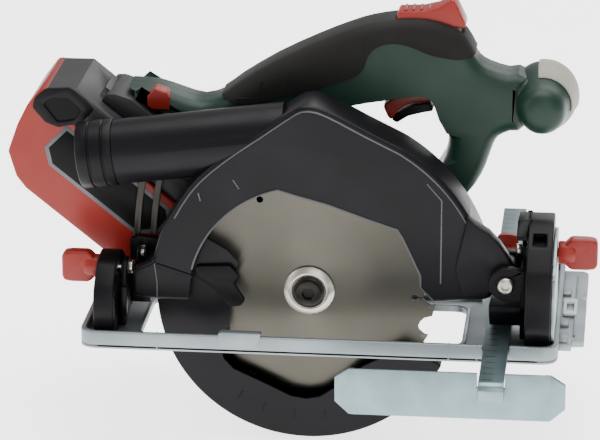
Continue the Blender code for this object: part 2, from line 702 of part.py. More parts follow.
def along(name, profile, start, end, look, steps=32):
    """A turned shape whose axis runs from one point to another; heights are from the start."""
    item = turned(name, profile, Vector((0, 0, 0)), "Z", look, steps)
    way = (end - start).normalized()
    item.matrix_world = Matrix.Translation(start) @ way.to_track_quat("Z", "Y").to_matrix().to_4x4()
    return item


def build_upper_guard():
    """Fixed guard: hollow scroll, blade window, hinge arm at the front, clamp lug and dust chute."""
    outer = guard_outline(0.0) + [(-113 * MM, 40 * MM), (-113 * MM, 24 * MM)]
    outer += points((-98, 22), (-74, 22), (60, 26), (88, 27), (117, 30))
    guard = upright("upper_guard", [outer], GUARD_NEAR, GUARD_FAR, "guard_black")
    start, end = chute_axis()
    length = (end - start).length
    tube = [(0.0, 0.0), (CHUTE_RADIUS + 0.4 * MM, 0.0), (CHUTE_RADIUS, length - 24 * MM)]
    tube += [(19.3 * MM, length - 24 * MM), (19.3 * MM, length - 4 * MM), (0.0, length - 4 * MM)]
    combine(guard, along("guard_chute", tube, start, end, None), "UNION")
    arm = points((96, 52), (104, 88), (113.6, 80.5), (122, 75.5), (128, 66), (132.6, 54))
    arm += arc(DEPTH_X, DEPTH_Z, 8.5 * MM, 20, -120, 8) + points((112, 36), (100, 34))
    combine(guard, upright("guard_arm", [arm], -24.6 * MM, -12 * MM, None), "UNION")
    hub = spot_at(DEPTH_X, 0.0, DEPTH_Z)
    combine(guard, cylinder("guard_pivot_tube", 7 * MM, -20 * MM, 7.6 * MM, hub, "Y", None, 24), "UNION")
    lug = points((-119, 38), (-119, 52), (-112, 54), (-96, 52), (-96, 38))
    combine(guard, upright("guard_lug", [lug], 12.0 * MM, 17.2 * MM, None), "UNION")
    inner = guard_outline(3 * MM) + points((-102.5, 36), (-96, 10), (100, 10), (115, 24))
    combine(guard, upright("guard_hollow", [inner], -17.5 * MM, 14.5 * MM, None))
    tail = points((-125, 5), (-125, 37.5), (-105, 37.5), (-105, 5))
    combine(guard, upright("guard_tail_cut", [tail], -13.5 * MM, 30 * MM, None))
    tail = points((-125, 30), (-125, 60), (-104.6, 60), (-104.6, 30))
    combine(guard, upright("guard_lever_cut", [tail], -13.5 * MM, 11.8 * MM, None))
    bore = [(0.0, -8 * MM), (18 * MM, -8 * MM), (17 * MM, length + 10 * MM), (0.0, length + 10 * MM)]
    combine(guard, along("guard_chute_bore", bore, start, end, None))
    window = arc(0.0, SPINDLE_Z, 76 * MM, 164, 98, 9) + points((0, 95.6), (14, 91), (58, 76), (71, 47))
    window += points((80, 29), (80, 10), (-60, 10), (-60, 27.6))
    combine(guard, upright("guard_window", [window], -30 * MM, -16 * MM, None))
    far_hole = circle(0.0, SPINDLE_Z, HUB_RADIUS + 2.3 * MM, 28)
    combine(guard, upright("guard_hub_hole", [far_hole], 10 * MM, 20 * MM, None))
    combine(guard, cylinder("guard_pivot_bore", 4.3 * MM, -40 * MM, 30 * MM, hub, "Y", None, 20))
    clamp = spot_at(DEPTH_X - DEPTH_ARC_RADIUS, 0.0, DEPTH_Z)
    combine(guard, cylinder("guard_clamp_bore", 3.3 * MM, 5 * MM, 30 * MM, clamp, "Y", None, 16))
    for index, (x, z) in enumerate(GUARD_SCREW_SPOTS):
        centre = spot_at(x * MM, 0.0, z * MM)
        combine(guard, cylinder(f"guard_screw_hole_{index}", 2.3 * MM, 10 * MM, 30 * MM, centre, "Y", None, 12))
    return guard


GUARD_SCREW_SPOTS = ((-34, 66), (14, 63), (-36, 28))


def build_guard_screws():
    """Screws that hold the upper guard to the gear case."""
    made = []
    for index, (x, z) in enumerate(GUARD_SCREW_SPOTS):
        profile = [(r, -h) for r, h in screw_profile(4 * MM, 1.2 * MM, 2 * MM, 6.5 * MM)]
        centre = spot_at(x * MM, 14.2 * MM, z * MM)
        made.append(smooth(turned(f"guard_screw_{index + 1}", profile, centre, "Y", "bright_steel", 12)))
    return made


def build_dust_nozzle():
    """Sleeve with two rings on the end of the chute."""
    start, end = chute_axis()
    length = (end - start).length
    low = length - 23.6 * MM
    outer = CHUTE_RADIUS + 0.8 * MM
    profile = [(19.6 * MM, low), (outer, low), (outer, length - 18 * MM), (outer - 0.7 * MM, length - 17.4 * MM)]
    profile += [(outer, length - 16.8 * MM), (outer, length - 9 * MM), (outer - 0.7 * MM, length - 8.4 * MM)]
    profile += [(outer, length - 7.8 * MM), (outer, length - 1 * MM), (outer - 1 * MM, length), (19.6 * MM, length)]
    return smooth(along("dust_nozzle", profile, start, end, "guard_black"))


def drive_outline(spindle_radius, motor_radius):
    """Egg-shaped outline round the spindle and the motor's axis."""
    lean = math.degrees(MOTOR_ANGLE)
    spread = math.degrees(math.acos((spindle_radius - motor_radius) / GEAR_DISTANCE))
    outline = arc(MOTOR_X, MOTOR_Z, motor_radius, lean - spread, lean + spread, 22)
    outline += arc(0.0, SPINDLE_Z, spindle_radius, lean + spread, lean + 360 - spread, 16)
    return outline


def build_gear_case():
    """Cast case behind the guard: gear chamber, bearing seat and the boss the lower guard turns on."""
    case = upright("gear_case", [drive_outline(21.5 * MM, MOTOR_RADIUS)], 17.3 * MM, 48 * MM, "gear_case")
    chamber = drive_outline(19.6 * MM, MOTOR_RADIUS - 3 * MM)
    hub = [(0.0, 6.2 * MM), (HUB_RADIUS, 6.2 * MM), (HUB_RADIUS, 18.5 * MM), (0.0, 18.5 * MM)]
    combine(case, turned("case_hub", hub, SPINDLE, "Y", None, 32), "UNION")
    arm = points((6, 48), (60, 66), (78, 75), (92, 64), (84, 54), (60, 50), (14, 34))
    combine(case, upright("case_arm", [rounded(arm, 6 * MM, 3)], 24 * MM, 41.5 * MM, None), "UNION")
    combine(case, upright("case_chamber", [chamber], 21.5 * MM, 60 * MM, None))
    combine(case, cylinder("case_bearing_seat", 11.0 * MM, 9 * MM, 30 * MM, SPINDLE, "Y", None, 28))
    combine(case, cylinder("case_spindle_hole", 8.0 * MM, 0.0, 30 * MM, SPINDLE, "Y", None, 28))
    for index, (x, z) in enumerate(GUARD_SCREW_SPOTS):
        centre = spot_at(x * MM, 0.0, z * MM)
        hole = cylinder(f"case_screw_hole_{index}", 2.3 * MM, 10 * MM, 30 * MM, centre, "Y", None, 12)
        combine(case, hole, solver="MANIFOLD")
    centre = spot_at(0.0, LOCK_SIDE, SPINDLE_Z)
    lock_hole = cylinder("case_lock_hole", 4.3 * MM, 12 * MM, 60 * MM, centre, "X", None, 20)
    combine(case, lock_hole, solver="MANIFOLD")
    return case


def build_spindle_lock():
    """Button in the side of the gear case that locks the spindle for a blade change."""
    centre = spot_at(0.0, LOCK_SIDE, SPINDLE_Z)
    profile = [(0.0, 33 * MM), (3.2 * MM, 33 * MM), (4 * MM, 32.2 * MM), (4 * MM, 21 * MM), (2 * MM, 21 * MM)]
    profile += [(2 * MM, 8.2 * MM), (0.0, 8.2 * MM)]
    button = smooth(turned("spindle_lock_button", profile, centre, "X", "rubber_black", 20))
    pivot("spindle_lock_axis", centre + Vector((21 * MM, 0, 0)), button)
    return button


def build_motor():
    """Motor housing with vents, its end cap, the stator, and the turning rotor with its fan."""
    inner = MOTOR_RADIUS - MOTOR_WALL
    start = 48.3 * MM
    wall = [(inner, MOTOR_END), (MOTOR_RADIUS, MOTOR_END), (MOTOR_RADIUS, start), (inner, start)]
    housing = turned("motor_housing", wall, MOTOR, "Y", "housing_green", 40)
    for index, angle in enumerate((20, 50, 80, 200, 230, 260)):
        turn = math.radians(angle)
        x = MOTOR_X + MOTOR_RADIUS * math.cos(turn)
        z = MOTOR_Z + MOTOR_RADIUS * math.sin(turn)
        cut = upright(f"motor_vent_{index}", [circle(x, z, 4.2 * MM, 4, turn)], 104 * MM, 118 * MM, None)
        combine(housing, cut)
    cap_low = MOTOR_END + GAP
    dome = [(8.2 * MM, cap_low - 5 * MM), (12 * MM, cap_low - 5 * MM), (12 * MM, cap_low + 4 * MM)]
    dome += [(inner - 1.5 * MM, cap_low + 4 * MM), (inner - 1.5 * MM, cap_low), (MOTOR_RADIUS, cap_low)]
    dome += [(MOTOR_RADIUS, cap_low + 6 * MM), (MOTOR_RADIUS - 3 * MM, cap_low + 12 * MM)]
    dome += [(MOTOR_RADIUS - 10 * MM, cap_low + 15 * MM), (0.0, cap_low + 16 * MM), (0.0, cap_low + 3 * MM)]
    dome += [(8.2 * MM, cap_low + 3 * MM)]
    cap = turned_bowl("motor_cap", dome, MOTOR, "rubber_black")
    for index in range(5):
        z = MOTOR_Z + (index - 2) * 9 * MM
        reach = 20 * MM if abs(index - 2) < 2 else 12 * MM
        low = (MOTOR_X - reach, cap_low + 11.5 * MM, z - 1.8 * MM)
        high = (MOTOR_X + reach, cap_low + 20 * MM, z + 1.8 * MM)
        combine(cap, box(f"cap_vent_{index}", low, high, None))
    rim = inner - 0.4 * MM
    ring = [(19.5 * MM, 98 * MM), (rim, 98 * MM), (rim, 58 * MM), (19.5 * MM, 58 * MM)]
    stator = smooth(turned("stator", ring, MOTOR, "Y", "dark_steel", 32))
    core = [(0.0, 127 * MM), (3.6 * MM, 127 * MM), (3.6 * MM, 97 * MM), (13 * MM, 97 * MM), (13 * MM, 95 * MM)]
    core += [(18.5 * MM, 93 * MM), (18.5 * MM, 62 * MM), (13 * MM, 60 * MM), (6 * MM, 60 * MM), (6 * MM, 48 * MM)]
    core += [(3.6 * MM, 48 * MM), (3.6 * MM, 37 * MM), (2.4 * MM, 37 * MM), (2.4 * MM, 22.5 * MM), (0.0, 22.5 * MM)]
    rotor = smooth(turned("rotor", core, MOTOR, "Y", "copper", 28))
    fan = build_fan()
    pinion = build_gear("pinion", PINION_TEETH, MOTOR, 24 * MM, 36 * MM, 2.5 * MM, pinion_phase(), "bright_steel")
    bearing_ring = [(3.8 * MM, 126.5 * MM), (7.9 * MM, 126.5 * MM), (7.9 * MM, 119.6 * MM), (3.8 * MM, 119.6 * MM)]
    bearing = smooth(turned("rotor_bearing", bearing_ring, MOTOR, "Y", "bright_steel", 24))
    pivot("rotor_axis", MOTOR + Vector((0, 80 * MM, 0)), rotor, fan, pinion)
    return housing, cap, stator, rotor, fan, pinion, bearing


def turned_bowl(name, profile, centre, look):
    """A turned piece whose profile touches the axis in two places."""
    start = next(i for i, point in enumerate(profile) if point[0] == 0.0)
    if profile[start + 1][0] == 0.0:
        start += 1
    return smooth(turned(name, profile[start:] + profile[:start], centre, "Y", look, 36))


def build_fan():
    """Cooling fan: a disc with radial blades."""
    disc = [(3.9 * MM, 104.5 * MM), (27 * MM, 104.5 * MM), (27 * MM, 103 * MM), (3.9 * MM, 103 * MM)]
    fan = turned("fan", disc, MOTOR, "Y", "rubber_black", 32)
    hub = [(3.9 * MM, 112 * MM), (9 * MM, 112 * MM), (9 * MM, 103 * MM), (3.9 * MM, 103 * MM)]
    combine(fan, turned("fan_hub", hub, MOTOR, "Y", None, 24), "UNION")
    for index in range(8):
        turn = 2 * math.pi * index / 8
        along_blade = Vector((math.cos(turn), math.sin(turn)))
        across = Vector((-along_blade.y, along_blade.x)) * 0.7 * MM
        inner, outer = along_blade * 8 * MM, along_blade * 26 * MM
        corners = [inner + across, inner - across, outer - across, outer + across]
        corners = [(c.x + MOTOR_X, c.y + MOTOR_Z) for c in corners]
        combine(fan, upright(f"fan_blade_{index}", [corners], 104 * MM, 111.5 * MM, None), "UNION")
    return fan


def build_gear(name, teeth, centre, low, high, bore, phase, look):
    """Spur gear with straight-flanked teeth; phase is the angle of one tooth's centre."""
    pitch = GEAR_MODULE * teeth / 2
    tip, root = pitch + 0.80 * GEAR_MODULE, pitch - 1.10 * GEAR_MODULE
    step = 2 * math.pi / teeth
    share = ((root, 0.34), (tip, 0.13), (tip, -0.13), (root, -0.34))
    outline = []
    for index in range(teeth):
        middle = phase - step * index
        for radius, part in share:
            angle = middle + step * part
            outline.append((centre.x + radius * math.cos(angle), centre.z + radius * math.sin(angle)))
    hole = circle(centre.x, centre.z, bore, 20)
    return upright(name, [outline, hole], low, high, look)


def pinion_phase():
    """Angle at which a gap of the pinion faces the spindle, so that a gear tooth fits in it."""
    return MOTOR_ANGLE + math.pi + math.pi / PINION_TEETH


def build_spindle_group():
    """Spindle, its gear and bearing, the two flanges, the blade and its bolt."""
    shaft = [(3.2 * MM, -3.5 * MM), (SPINDLE_RADIUS, -3.5 * MM), (SPINDLE_RADIUS, 40 * MM), (0.0, 40 * MM)]
    shaft += [(0.0, 12 * MM), (3.2 * MM, 12 * MM)]
    shaft = [shaft[4]] + [shaft[5], shaft[0], shaft[1], shaft[2], shaft[3]]
    spindle = smooth(turned("spindle", shaft, SPINDLE, "Y", "bright_steel", 24))
    ring = [(5.2 * MM, 17 * MM), (10.7 * MM, 17 * MM), (10.7 * MM, 9.4 * MM), (5.2 * MM, 9.4 * MM)]
    bearing = smooth(turned("spindle_bearing", ring, SPINDLE, "Y", "bright_steel", 28))
    bore = SPINDLE_RADIUS + 0.1 * MM
    gear = build_gear("spindle_gear", SPINDLE_GEAR_TEETH, SPINDLE, 25 * MM, 35 * MM, bore, MOTOR_ANGLE, "bright_steel")
    half = BLADE_THICKNESS / 2
    radius = FLANGE_RADIUS
    inner = [(bore, 5.8 * MM), (12 * MM, 5.8 * MM), (radius, 4 * MM), (radius, half + 0.1 * MM)]
    inner += [(BLADE_BORE_RADIUS - 0.1 * MM, half + 0.1 * MM), (BLADE_BORE_RADIUS - 0.1 * MM, -half), (bore, -half)]
    inner_flange = smooth(turned("inner_flange", inner, SPINDLE, "Y", "bright_steel", 32))
    outer = [(bore, -half - 0.1 * MM), (radius, -half - 0.1 * MM), (radius, -2.6 * MM), (radius - 3 * MM, -4.4 * MM)]
    outer += [(10.6 * MM, -4.4 * MM), (10.4 * MM, -3.8 * MM), (bore, -3.8 * MM)]
    outer_flange = smooth(turned("outer_flange", outer, SPINDLE, "Y", "bright_steel", 32))
    bolt_profile = [(r, -h) for r, h in screw_profile(8.6 * MM, 5.2 * MM, 3.0 * MM, 14 * MM, 3.4 * MM)]
    bolt = smooth(turned("blade_bolt", bolt_profile, SPINDLE + Vector((0, -3.9 * MM, 0)), "Y", "dark_steel", 24))
    blade = build_blade()
    pivot("spindle_axis", SPINDLE, spindle, gear, inner_flange, outer_flange, bolt, blade)
    return spindle, bearing, gear, inner_flange, outer_flange, bolt, blade


def build_blade():
    """Saw blade: toothed rim, a centre bore, and three expansion slots that end in round holes."""
    step = 2 * math.pi / BLADE_TEETH
    root = BLADE_RADIUS - 8 * MM
    start = math.radians(-2.2)
    outline = []
    for index in range(BLADE_TEETH):
        base = start + step * index
        if index % (BLADE_TEETH // 3) == 0:
            outline += slot_points(base, root)
        else:
            outline.append(polar(root + 0.6 * MM, base - step * 0.05))
            outline.append(polar(root, base + step * 0.06))
        outline.append(polar(root + 1.2 * MM, base + step * 0.30))
        outline.append(polar(BLADE_RADIUS - 0.9 * MM, base + step * 0.42))
        outline.append(polar(BLADE_RADIUS, base + step * 0.80))
        outline.append(polar(BLADE_RADIUS - 3.4 * MM, base + step * 0.82))
    half = BLADE_THICKNESS / 2
    bore = circle(0.0, SPINDLE_Z, BLADE_BORE_RADIUS, 32)
    return upright("blade", [outline, bore], -half, half, "blade_steel")


def polar(radius, angle):
    """A point of the blade's plane from its distance and direction from the spindle."""
    return (radius * math.cos(angle), SPINDLE_Z + radius * math.sin(angle))


def slot_points(angle, root):
    """Points of one expansion slot: in along one side, round its hole, and out along the other."""
    half = 0.55 * MM
    hole = 2.1 * MM
    centre = Vector(polar(SLOT_HOLE_RADIUS, angle))
    way = Vector((math.cos(angle), math.sin(angle)))
    across = Vector((-way.y, way.x))
    mouth = Vector((0.0, SPINDLE_Z)) + way * root
    open_angle = math.degrees(math.asin(half / hole))
    turn = math.degrees(angle)
    made = [tuple(mouth - across * half)]
    made += arc(centre.x, centre.y, hole, turn - open_angle, turn - 360 + open_angle, 11)
    made.append(tuple(mouth + across * half))
    return made


# ---------------------------------------------------------------- lower guard


def build_lower_guard():
    """Swinging guard: two walls and a rim round the lower half of the blade, with its lever and spring."""
    outer = arc(0.0, SPINDLE_Z, LOWER_GUARD_RADIUS, 150, 333, 34) + points((0, 25.5))
    guard = upright("lower_guard", [outer], -LOWER_GUARD_HALF, LOWER_GUARD_HALF, "guard_black")
    half = LOWER_GUARD_HALF - LOWER_GUARD_WALL
    hollow = arc(0.0, SPINDLE_Z, LOWER_GUARD_RADIUS - 2.4 * MM, 140, 343, 34) + points((8, 60))
    disc = cylinder("lower_hub", 24 * MM, half, LOWER_GUARD_HALF, SPINDLE, "Y", None, 32)
    combine(guard, disc, "UNION")
    combine(guard, upright("lower_hollow", [hollow], -half, half, None))
    window = points((-90, 90), (-45, 47), (-50, 22), (-60, -8), (-56, -22), (-38, -37), (-18, -47.5))
    window += points((0, -49), (12, -44), (30, -26), (60, -8), (90, 10), (40, 60), (0, 80))
    window = points((-60, 64)) + window[1:-3] + points((92, -2), (60, 60), (0, 90))
    combine(guard, upright("lower_window", [window], -30 * MM, -4 * MM, None))
    combine(guard, cylinder("lower_hub_hole", HUB_RADIUS + 0.3 * MM, 5 * MM, 30 * MM, SPINDLE, "Y", None, 32))
    block = points((-69, 50), (-49, 43.5), (-43, 33), (-38, 22), (-42, 17.5), (-50, 17.5), (-55, 23), (-60, 27), (-73, 43))
    lever = upright("guard_lever", [rounded(block, 2 * MM, 2)], -16.8 * MM, -12.8 * MM, "guard_black")
    spring = build_guard_spring()
    pivot("lower_guard_axis", SPINDLE, guard, lever, spring)
    return guard, lever, spring


def build_guard_spring():
    """Return spring: a flat coil of wire round the hub."""
    curve = bpy.data.curves.new("guard_spring", "CURVE")
    curve.dimensions = "3D"
    curve.bevel_depth = 0.55 * MM
    curve.bevel_resolution = 1
    curve.use_fill_caps = True
    spline = curve.splines.new("POLY")
    count = 42
    spline.points.add(count - 1)
    for index, point in enumerate(spline.points):
        angle = 2 * math.pi * 2.1 * index / (count - 1)
        radius = (18.2 + 1.9 * index / (count - 1)) * MM + 1.5 * MM * (index / (count - 1))
        x = radius * math.cos(angle)
        z = SPINDLE_Z + radius * math.sin(angle)
        point.co = (x, side(13.5 * MM), z, 1.0)
    item = bpy.data.objects.new("guard_spring", curve)
    bpy.context.scene.collection.objects.link(item)
    return smooth(to_mesh_object(item, "bright_steel"))


# ---------------------------------------------------------------- depth clamp


def build_depth_clamp():
    """Eye bolt through the depth guide, and the cam lever on its eye that tightens it."""
    x = DEPTH_X - DEPTH_ARC_RADIUS
    profile = screw_profile(5 * MM, 2.8 * MM, BOLT_RADIUS, 8.5 * MM)
    bolt = turned("depth_bolt", profile, spot_at(x, 19.9 * MM, DEPTH_Z), "Y", "bright_steel", 16)
    eye = arc(CAM_SIDE, DEPTH_Z, 3.2 * MM, 30, 330, 10)
    eye += [(12 * MM, DEPTH_Z - 1.6 * MM), (12 * MM, DEPTH_Z + 1.6 * MM)]
    combine(bolt, crosswise("depth_bolt_eye", [eye], x - 1.2 * MM, x + 1.2 * MM, None), "UNION")
    low, high = x - 3.3 * MM, x + 3.3 * MM
    outline = arc(CAM_SIDE, DEPTH_Z, 5.1 * MM, 200, -50, 12)
    outline += points((8.3, 30), (8.6, 19), (6.3, 17.2), (4.0, 19), (3.6, 30))
    lever = crosswise("depth_lever", [outline], low, high, "rubber_black", roundness=0.8 * MM, steps=1)
    fork = (x + 1.6 * MM, 20 * MM, DEPTH_Z + 10 * MM)
    combine(lever, box("depth_lever_fork", (x - 1.6 * MM, 0.0, DEPTH_Z - 5.6 * MM), fork, None))
    pivot("depth_lever_axis", spot_at(x, CAM_SIDE, DEPTH_Z), lever)
    return bolt, lever


# ---------------------------------------------------------------- handle


def pack_point(along_pack, above_pack):
    """A point from its millimetre distances along and above the battery pack's long side."""
    c, s = math.cos(PACK_ANGLE), math.sin(PACK_ANGLE)
    return ((along_pack * c - above_pack * s) * MM, (along_pack * s + above_pack * c) * MM)


def handle_outline():
    """Side view of the handle frame: grip, front pillar, lower saddle on the motor and rear neck."""
    outline = points((-76, 134.5), (-60, 141), (-50, 149.5), (-27, 164), (-1, 177), (20, 186), (35, 191.5))
    outline += points((49, 194), (70, 194.5), (88, 190), (94, 186), (101.3, 173.5), (104.5, 168), (113, 163))
    outline += arc(KNOB_X, KNOB_Z, KNOB_RADIUS + 2.4 * MM, 138, 222, 7)
    outline += points((119, 123), (116, 118), (113.8, 108), (108.6, 93), (98, 77), (84, 71), (68, 68))
    outline += [(x, z) for x, z in arc(MOTOR_X, MOTOR_Z, MOTOR_RADIUS + 0.5 * MM, 38, 118, 10)]
    outline += points((-44, 84), (-60, 84), (-70, 92))
    outline += [pack_point(-125.4, 32.6), pack_point(-187, 32.6)]
    outline += points((-119, 146), (-104, 143.5), (-92, 140))
    return outline


def finger_opening():
    """Opening in the handle frame for the fingers, with the trigger above it."""
    return points(
        (81, 98), (85, 114.5), (80, 125), (77, 138), (72, 145), (45, 142), (20, 137), (-10, 127),
        (-34, 116), (-46, 106), (-44, 98), (-30, 92), (10, 90), (35, 80), (62, 79), (74, 86),
    )


HOUSING_SCREWS = ((-66, 126), (93, 160), (102, 106))


def build_handle():
    """Both handle shells: rounded outside, hollow inside, with bosses for the housing screws."""
    low = HANDLE_SIDE - HANDLE_WIDTH / 2
    high = HANDLE_SIDE + HANDLE_WIDTH / 2
    outline = handle_outline()
    opening = rounded(finger_opening(), 5 * MM, 2)
    halves = []
    for name, start, stop in (
        ("handle_near", low, HANDLE_SIDE - GAP / 2),
        ("handle_far", HANDLE_SIDE + GAP / 2, high),
    ):
        shell = upright(name, [outline], low, high, "housing_green", roundness=HANDLE_ROUND, steps=2)
        keep_low = (-300 * MM, start, -50 * MM)
        keep = box(f"{name}_keep", keep_low, (300 * MM, stop, 300 * MM), None)
        combine(shell, keep, "INTERSECT", "MANIFOLD")
        carve(shell, upright(f"{name}_opening", [opening], low - 5 * MM, high + 5 * MM, None))
        wall_low = low + 3 * MM if name == "handle_near" else HANDLE_SIDE - 5 * MM
        wall_high = HANDLE_SIDE + 5 * MM if name == "handle_near" else high - 3 * MM
        hollow = upright(f"{name}_hollow", [grip_hollow()], wall_low + 3 * MM, wall_high - 3 * MM, None)
        carve(shell, hollow)
        hollow = upright(f"{name}_neck_hollow", [neck_hollow()], wall_low + 3 * MM, wall_high - 3 * MM, None)
        carve(shell, hollow)
        trigger_low = (38 * MM, HANDLE_SIDE - 8.5 * MM, 120 * MM)
        trigger_high = (77.5 * MM, HANDLE_SIDE + 8.5 * MM, 158 * MM)
        carve(shell, box(f"{name}_trigger_cut", trigger_low, trigger_high, None))
        lock_low = (50.8 * MM, HANDLE_SIDE - 10.4 * MM, 185.5 * MM)
        lock_high = (97 * MM, HANDLE_SIDE + 10.4 * MM, 215 * MM)
        carve(shell, box(f"{name}_lock_cut", lock_low, lock_high, None))
        button_low = (-112 * MM, HANDLE_SIDE - 30 * MM, 129.0 * MM)
        button_high = (-95.5 * MM, HANDLE_SIDE - 6 * MM, 160 * MM)
        carve(shell, box(f"{name}_button_cut", button_low, button_high, None))
        for index, (x, z) in enumerate(HOUSING_SCREWS):
            centre = spot_at(x * MM, 0.0, z * MM)
            reach = (high - 28 * MM, high - 4.3 * MM)
            carve(shell, cylinder(f"{name}_hole_{index}", 1.8 * MM, *reach, centre, "Y", None, 12))
            reach = (high - 4.5 * MM, high + 6 * MM)
            carve(shell, cylinder(f"{name}_sink_{index}", 3.6 * MM, *reach, centre, "Y", None, 16))
        halves.append(shell)
    return halves


def grip_hollow():
    """Room inside the grip for the switch and its leads."""
    return points((-30, 142), (0, 156), (22, 166), (40, 172), (84, 172), (84, 152), (45, 149), (10, 141), (-25, 131))


def neck_hollow():
    """Room inside the rear neck for the contacts' leads."""
    return points((-96, 126), (-88, 131), (-72, 126), (-60, 112), (-60, 96), (-76, 100), (-100, 118))


def build_soft_grip():
    """Rubber covering over the back and sides of the grip, a channel over the handle."""
    outline = points((-60, 143.5), (-50, 152.5), (-27, 167), (-1, 180), (20, 189), (35.6, 194.6), (49, 197.2))
    outline += points((72, 197.6), (90, 193.2), (97, 188), (103.6, 174.5), (99, 171.5), (85, 172), (76, 173.5))
    outline += points((58, 181), (42, 178.5), (33, 173), (29.5, 163), (25, 157), (-6, 146), (-35, 139), (-52, 137))
    wide = HANDLE_WIDTH / 2 + 1.5 * MM
    grip = upright(
        "soft_grip", [outline], HANDLE_SIDE - wide, HANDLE_SIDE + wide, "rubber_black",
        roundness=HANDLE_ROUND, steps=2,
    )
    low = HANDLE_SIDE - HANDLE_WIDTH / 2 - GAP
    high = HANDLE_SIDE + HANDLE_WIDTH / 2 + GAP
    core = handle_outline()
    body = upright("grip_core", [core], low, high, None, roundness=HANDLE_ROUND, steps=2)
    body.data.transform(body.matrix_world.to_3x3().inverted().to_4x4() @ Matrix.Translation((0, 0, GAP)) @ body.matrix_world.to_3x3().to_4x4())
    carve(grip, body)
    lock_low = (50.8 * MM, HANDLE_SIDE - 10.4 * MM, 170 * MM)
    lock_high = (97 * MM, HANDLE_SIDE + 10.4 * MM, 215 * MM)
    carve(grip, box("grip_lock_cut", lock_low, lock_high, None))
    return grip


def build_front_knob():
    """Barrel-shaped front handle across the saw, and its soft cap."""
    half = KNOB_LENGTH / 2
    r = KNOB_RADIUS
    profile = [(0.0, half), (r * 0.5, half - 0.6 * MM), (r * 0.68, half - 4 * MM), (r * 0.76, half - 10 * MM)]
    profile += [(r * 0.93, half - 22 * MM), (r, half - 32 * MM), (r, -half + 44 * MM), (r * 0.94, -half + 32 * MM)]
    profile += [(r * 0.79, -half + 20 * MM), (r * 0.72, -half + 10 * MM), (r * 0.66, -half + 4 * MM)]
    profile += [(r * 0.48, -half + 0.6 * MM), (0.0, -half)]
    centre = spot_at(KNOB_X, HANDLE_SIDE, KNOB_Z)
    knob = smooth(turned("front_knob", profile, centre, "Y", "housing_green", 32))
    outer = arc(KNOB_X, KNOB_Z, r + 2.3 * MM, -5, 118, 14)
    inner = arc(KNOB_X, KNOB_Z, r + GAP, 118, -5, 14)
    cap = upright("knob_cap", [outer + inner], HANDLE_SIDE - 24 * MM, HANDLE_SIDE + 24 * MM, "cap_grey")
    return knob, cap


def build_controls():
    """Trigger, thumb lock, battery release button, switch and control board."""
    outline = points((43, 134), (48, 147), (60, 151), (76, 151), (76.5, 143), (75, 131), (70, 127), (62, 128), (50, 124.5), (45, 126))
    trigger = upright(
        "trigger", [rounded(outline, 1.5 * MM, 2)], HANDLE_SIDE - 8 * MM, HANDLE_SIDE + 8 * MM, "trigger_red"
    )
    pivot("trigger_axis", spot_at(74.5 * MM, HANDLE_SIDE, 149 * MM), trigger)
    outline = points((51.2, 191), (51.2, 199.2), (70, 200.6), (79, 203), (87.5, 208.5), (96, 192.5), (96.5, 189.5))
    lock = upright(
        "thumb_lock", [outline], HANDLE_SIDE - 10 * MM, HANDLE_SIDE + 10 * MM, "signal_red",
        roundness=1.2 * MM, steps=1,
    )
    pivot("thumb_lock_axis", spot_at(74 * MM, HANDLE_SIDE, 196 * MM), lock)
    outline = points((-111, 134), (-111, 140.5), (-106, 146), (-98.5, 143.5), (-96.2, 140), (-96.2, 131.5), (-108, 131.5))
    button = upright("battery_button", [outline], HANDLE_SIDE - 20.5 * MM, HANDLE_SIDE - 6.5 * MM, "signal_red", roundness=1 * MM, steps=1)
    pivot("battery_button_axis", spot_at(-103 * MM, HANDLE_SIDE - 13 * MM, 138 * MM), button)
    low = (12 * MM, HANDLE_SIDE - 8 * MM, 152 * MM)
    switch = box("switch_module", low, (37 * MM, HANDLE_SIDE + 8 * MM, 160.5 * MM), "rubber_black", bevel=1 * MM)
    low = (-22 * MM, HANDLE_SIDE - 8 * MM, 140.5 * MM)
    board = box("control_board", low, (4 * MM, HANDLE_SIDE + 8 * MM, 142.5 * MM), "board_green")
    return trigger, lock, button, switch, board


def build_housing_screws():
    """Screws through the far handle shell into the near one."""
    made = []
    high = HANDLE_SIDE + HANDLE_WIDTH / 2
    for index, (x, z) in enumerate(HOUSING_SCREWS):
        profile = screw_profile(3.2 * MM, 2.4 * MM, 1.5 * MM, 22 * MM, 1.2 * MM)
        centre = spot_at(x * MM, high - 4.1 * MM, z * MM)
        made.append(smooth(turned(f"housing_screw_{index + 1}", profile, centre, "Y", "bright_steel", 12)))
    return made


# ---------------------------------------------------------------- battery


def pack_outline(pairs):
    """Outline given along and above the pack's long side."""
    return [pack_point(a, b) for a, b in pairs]


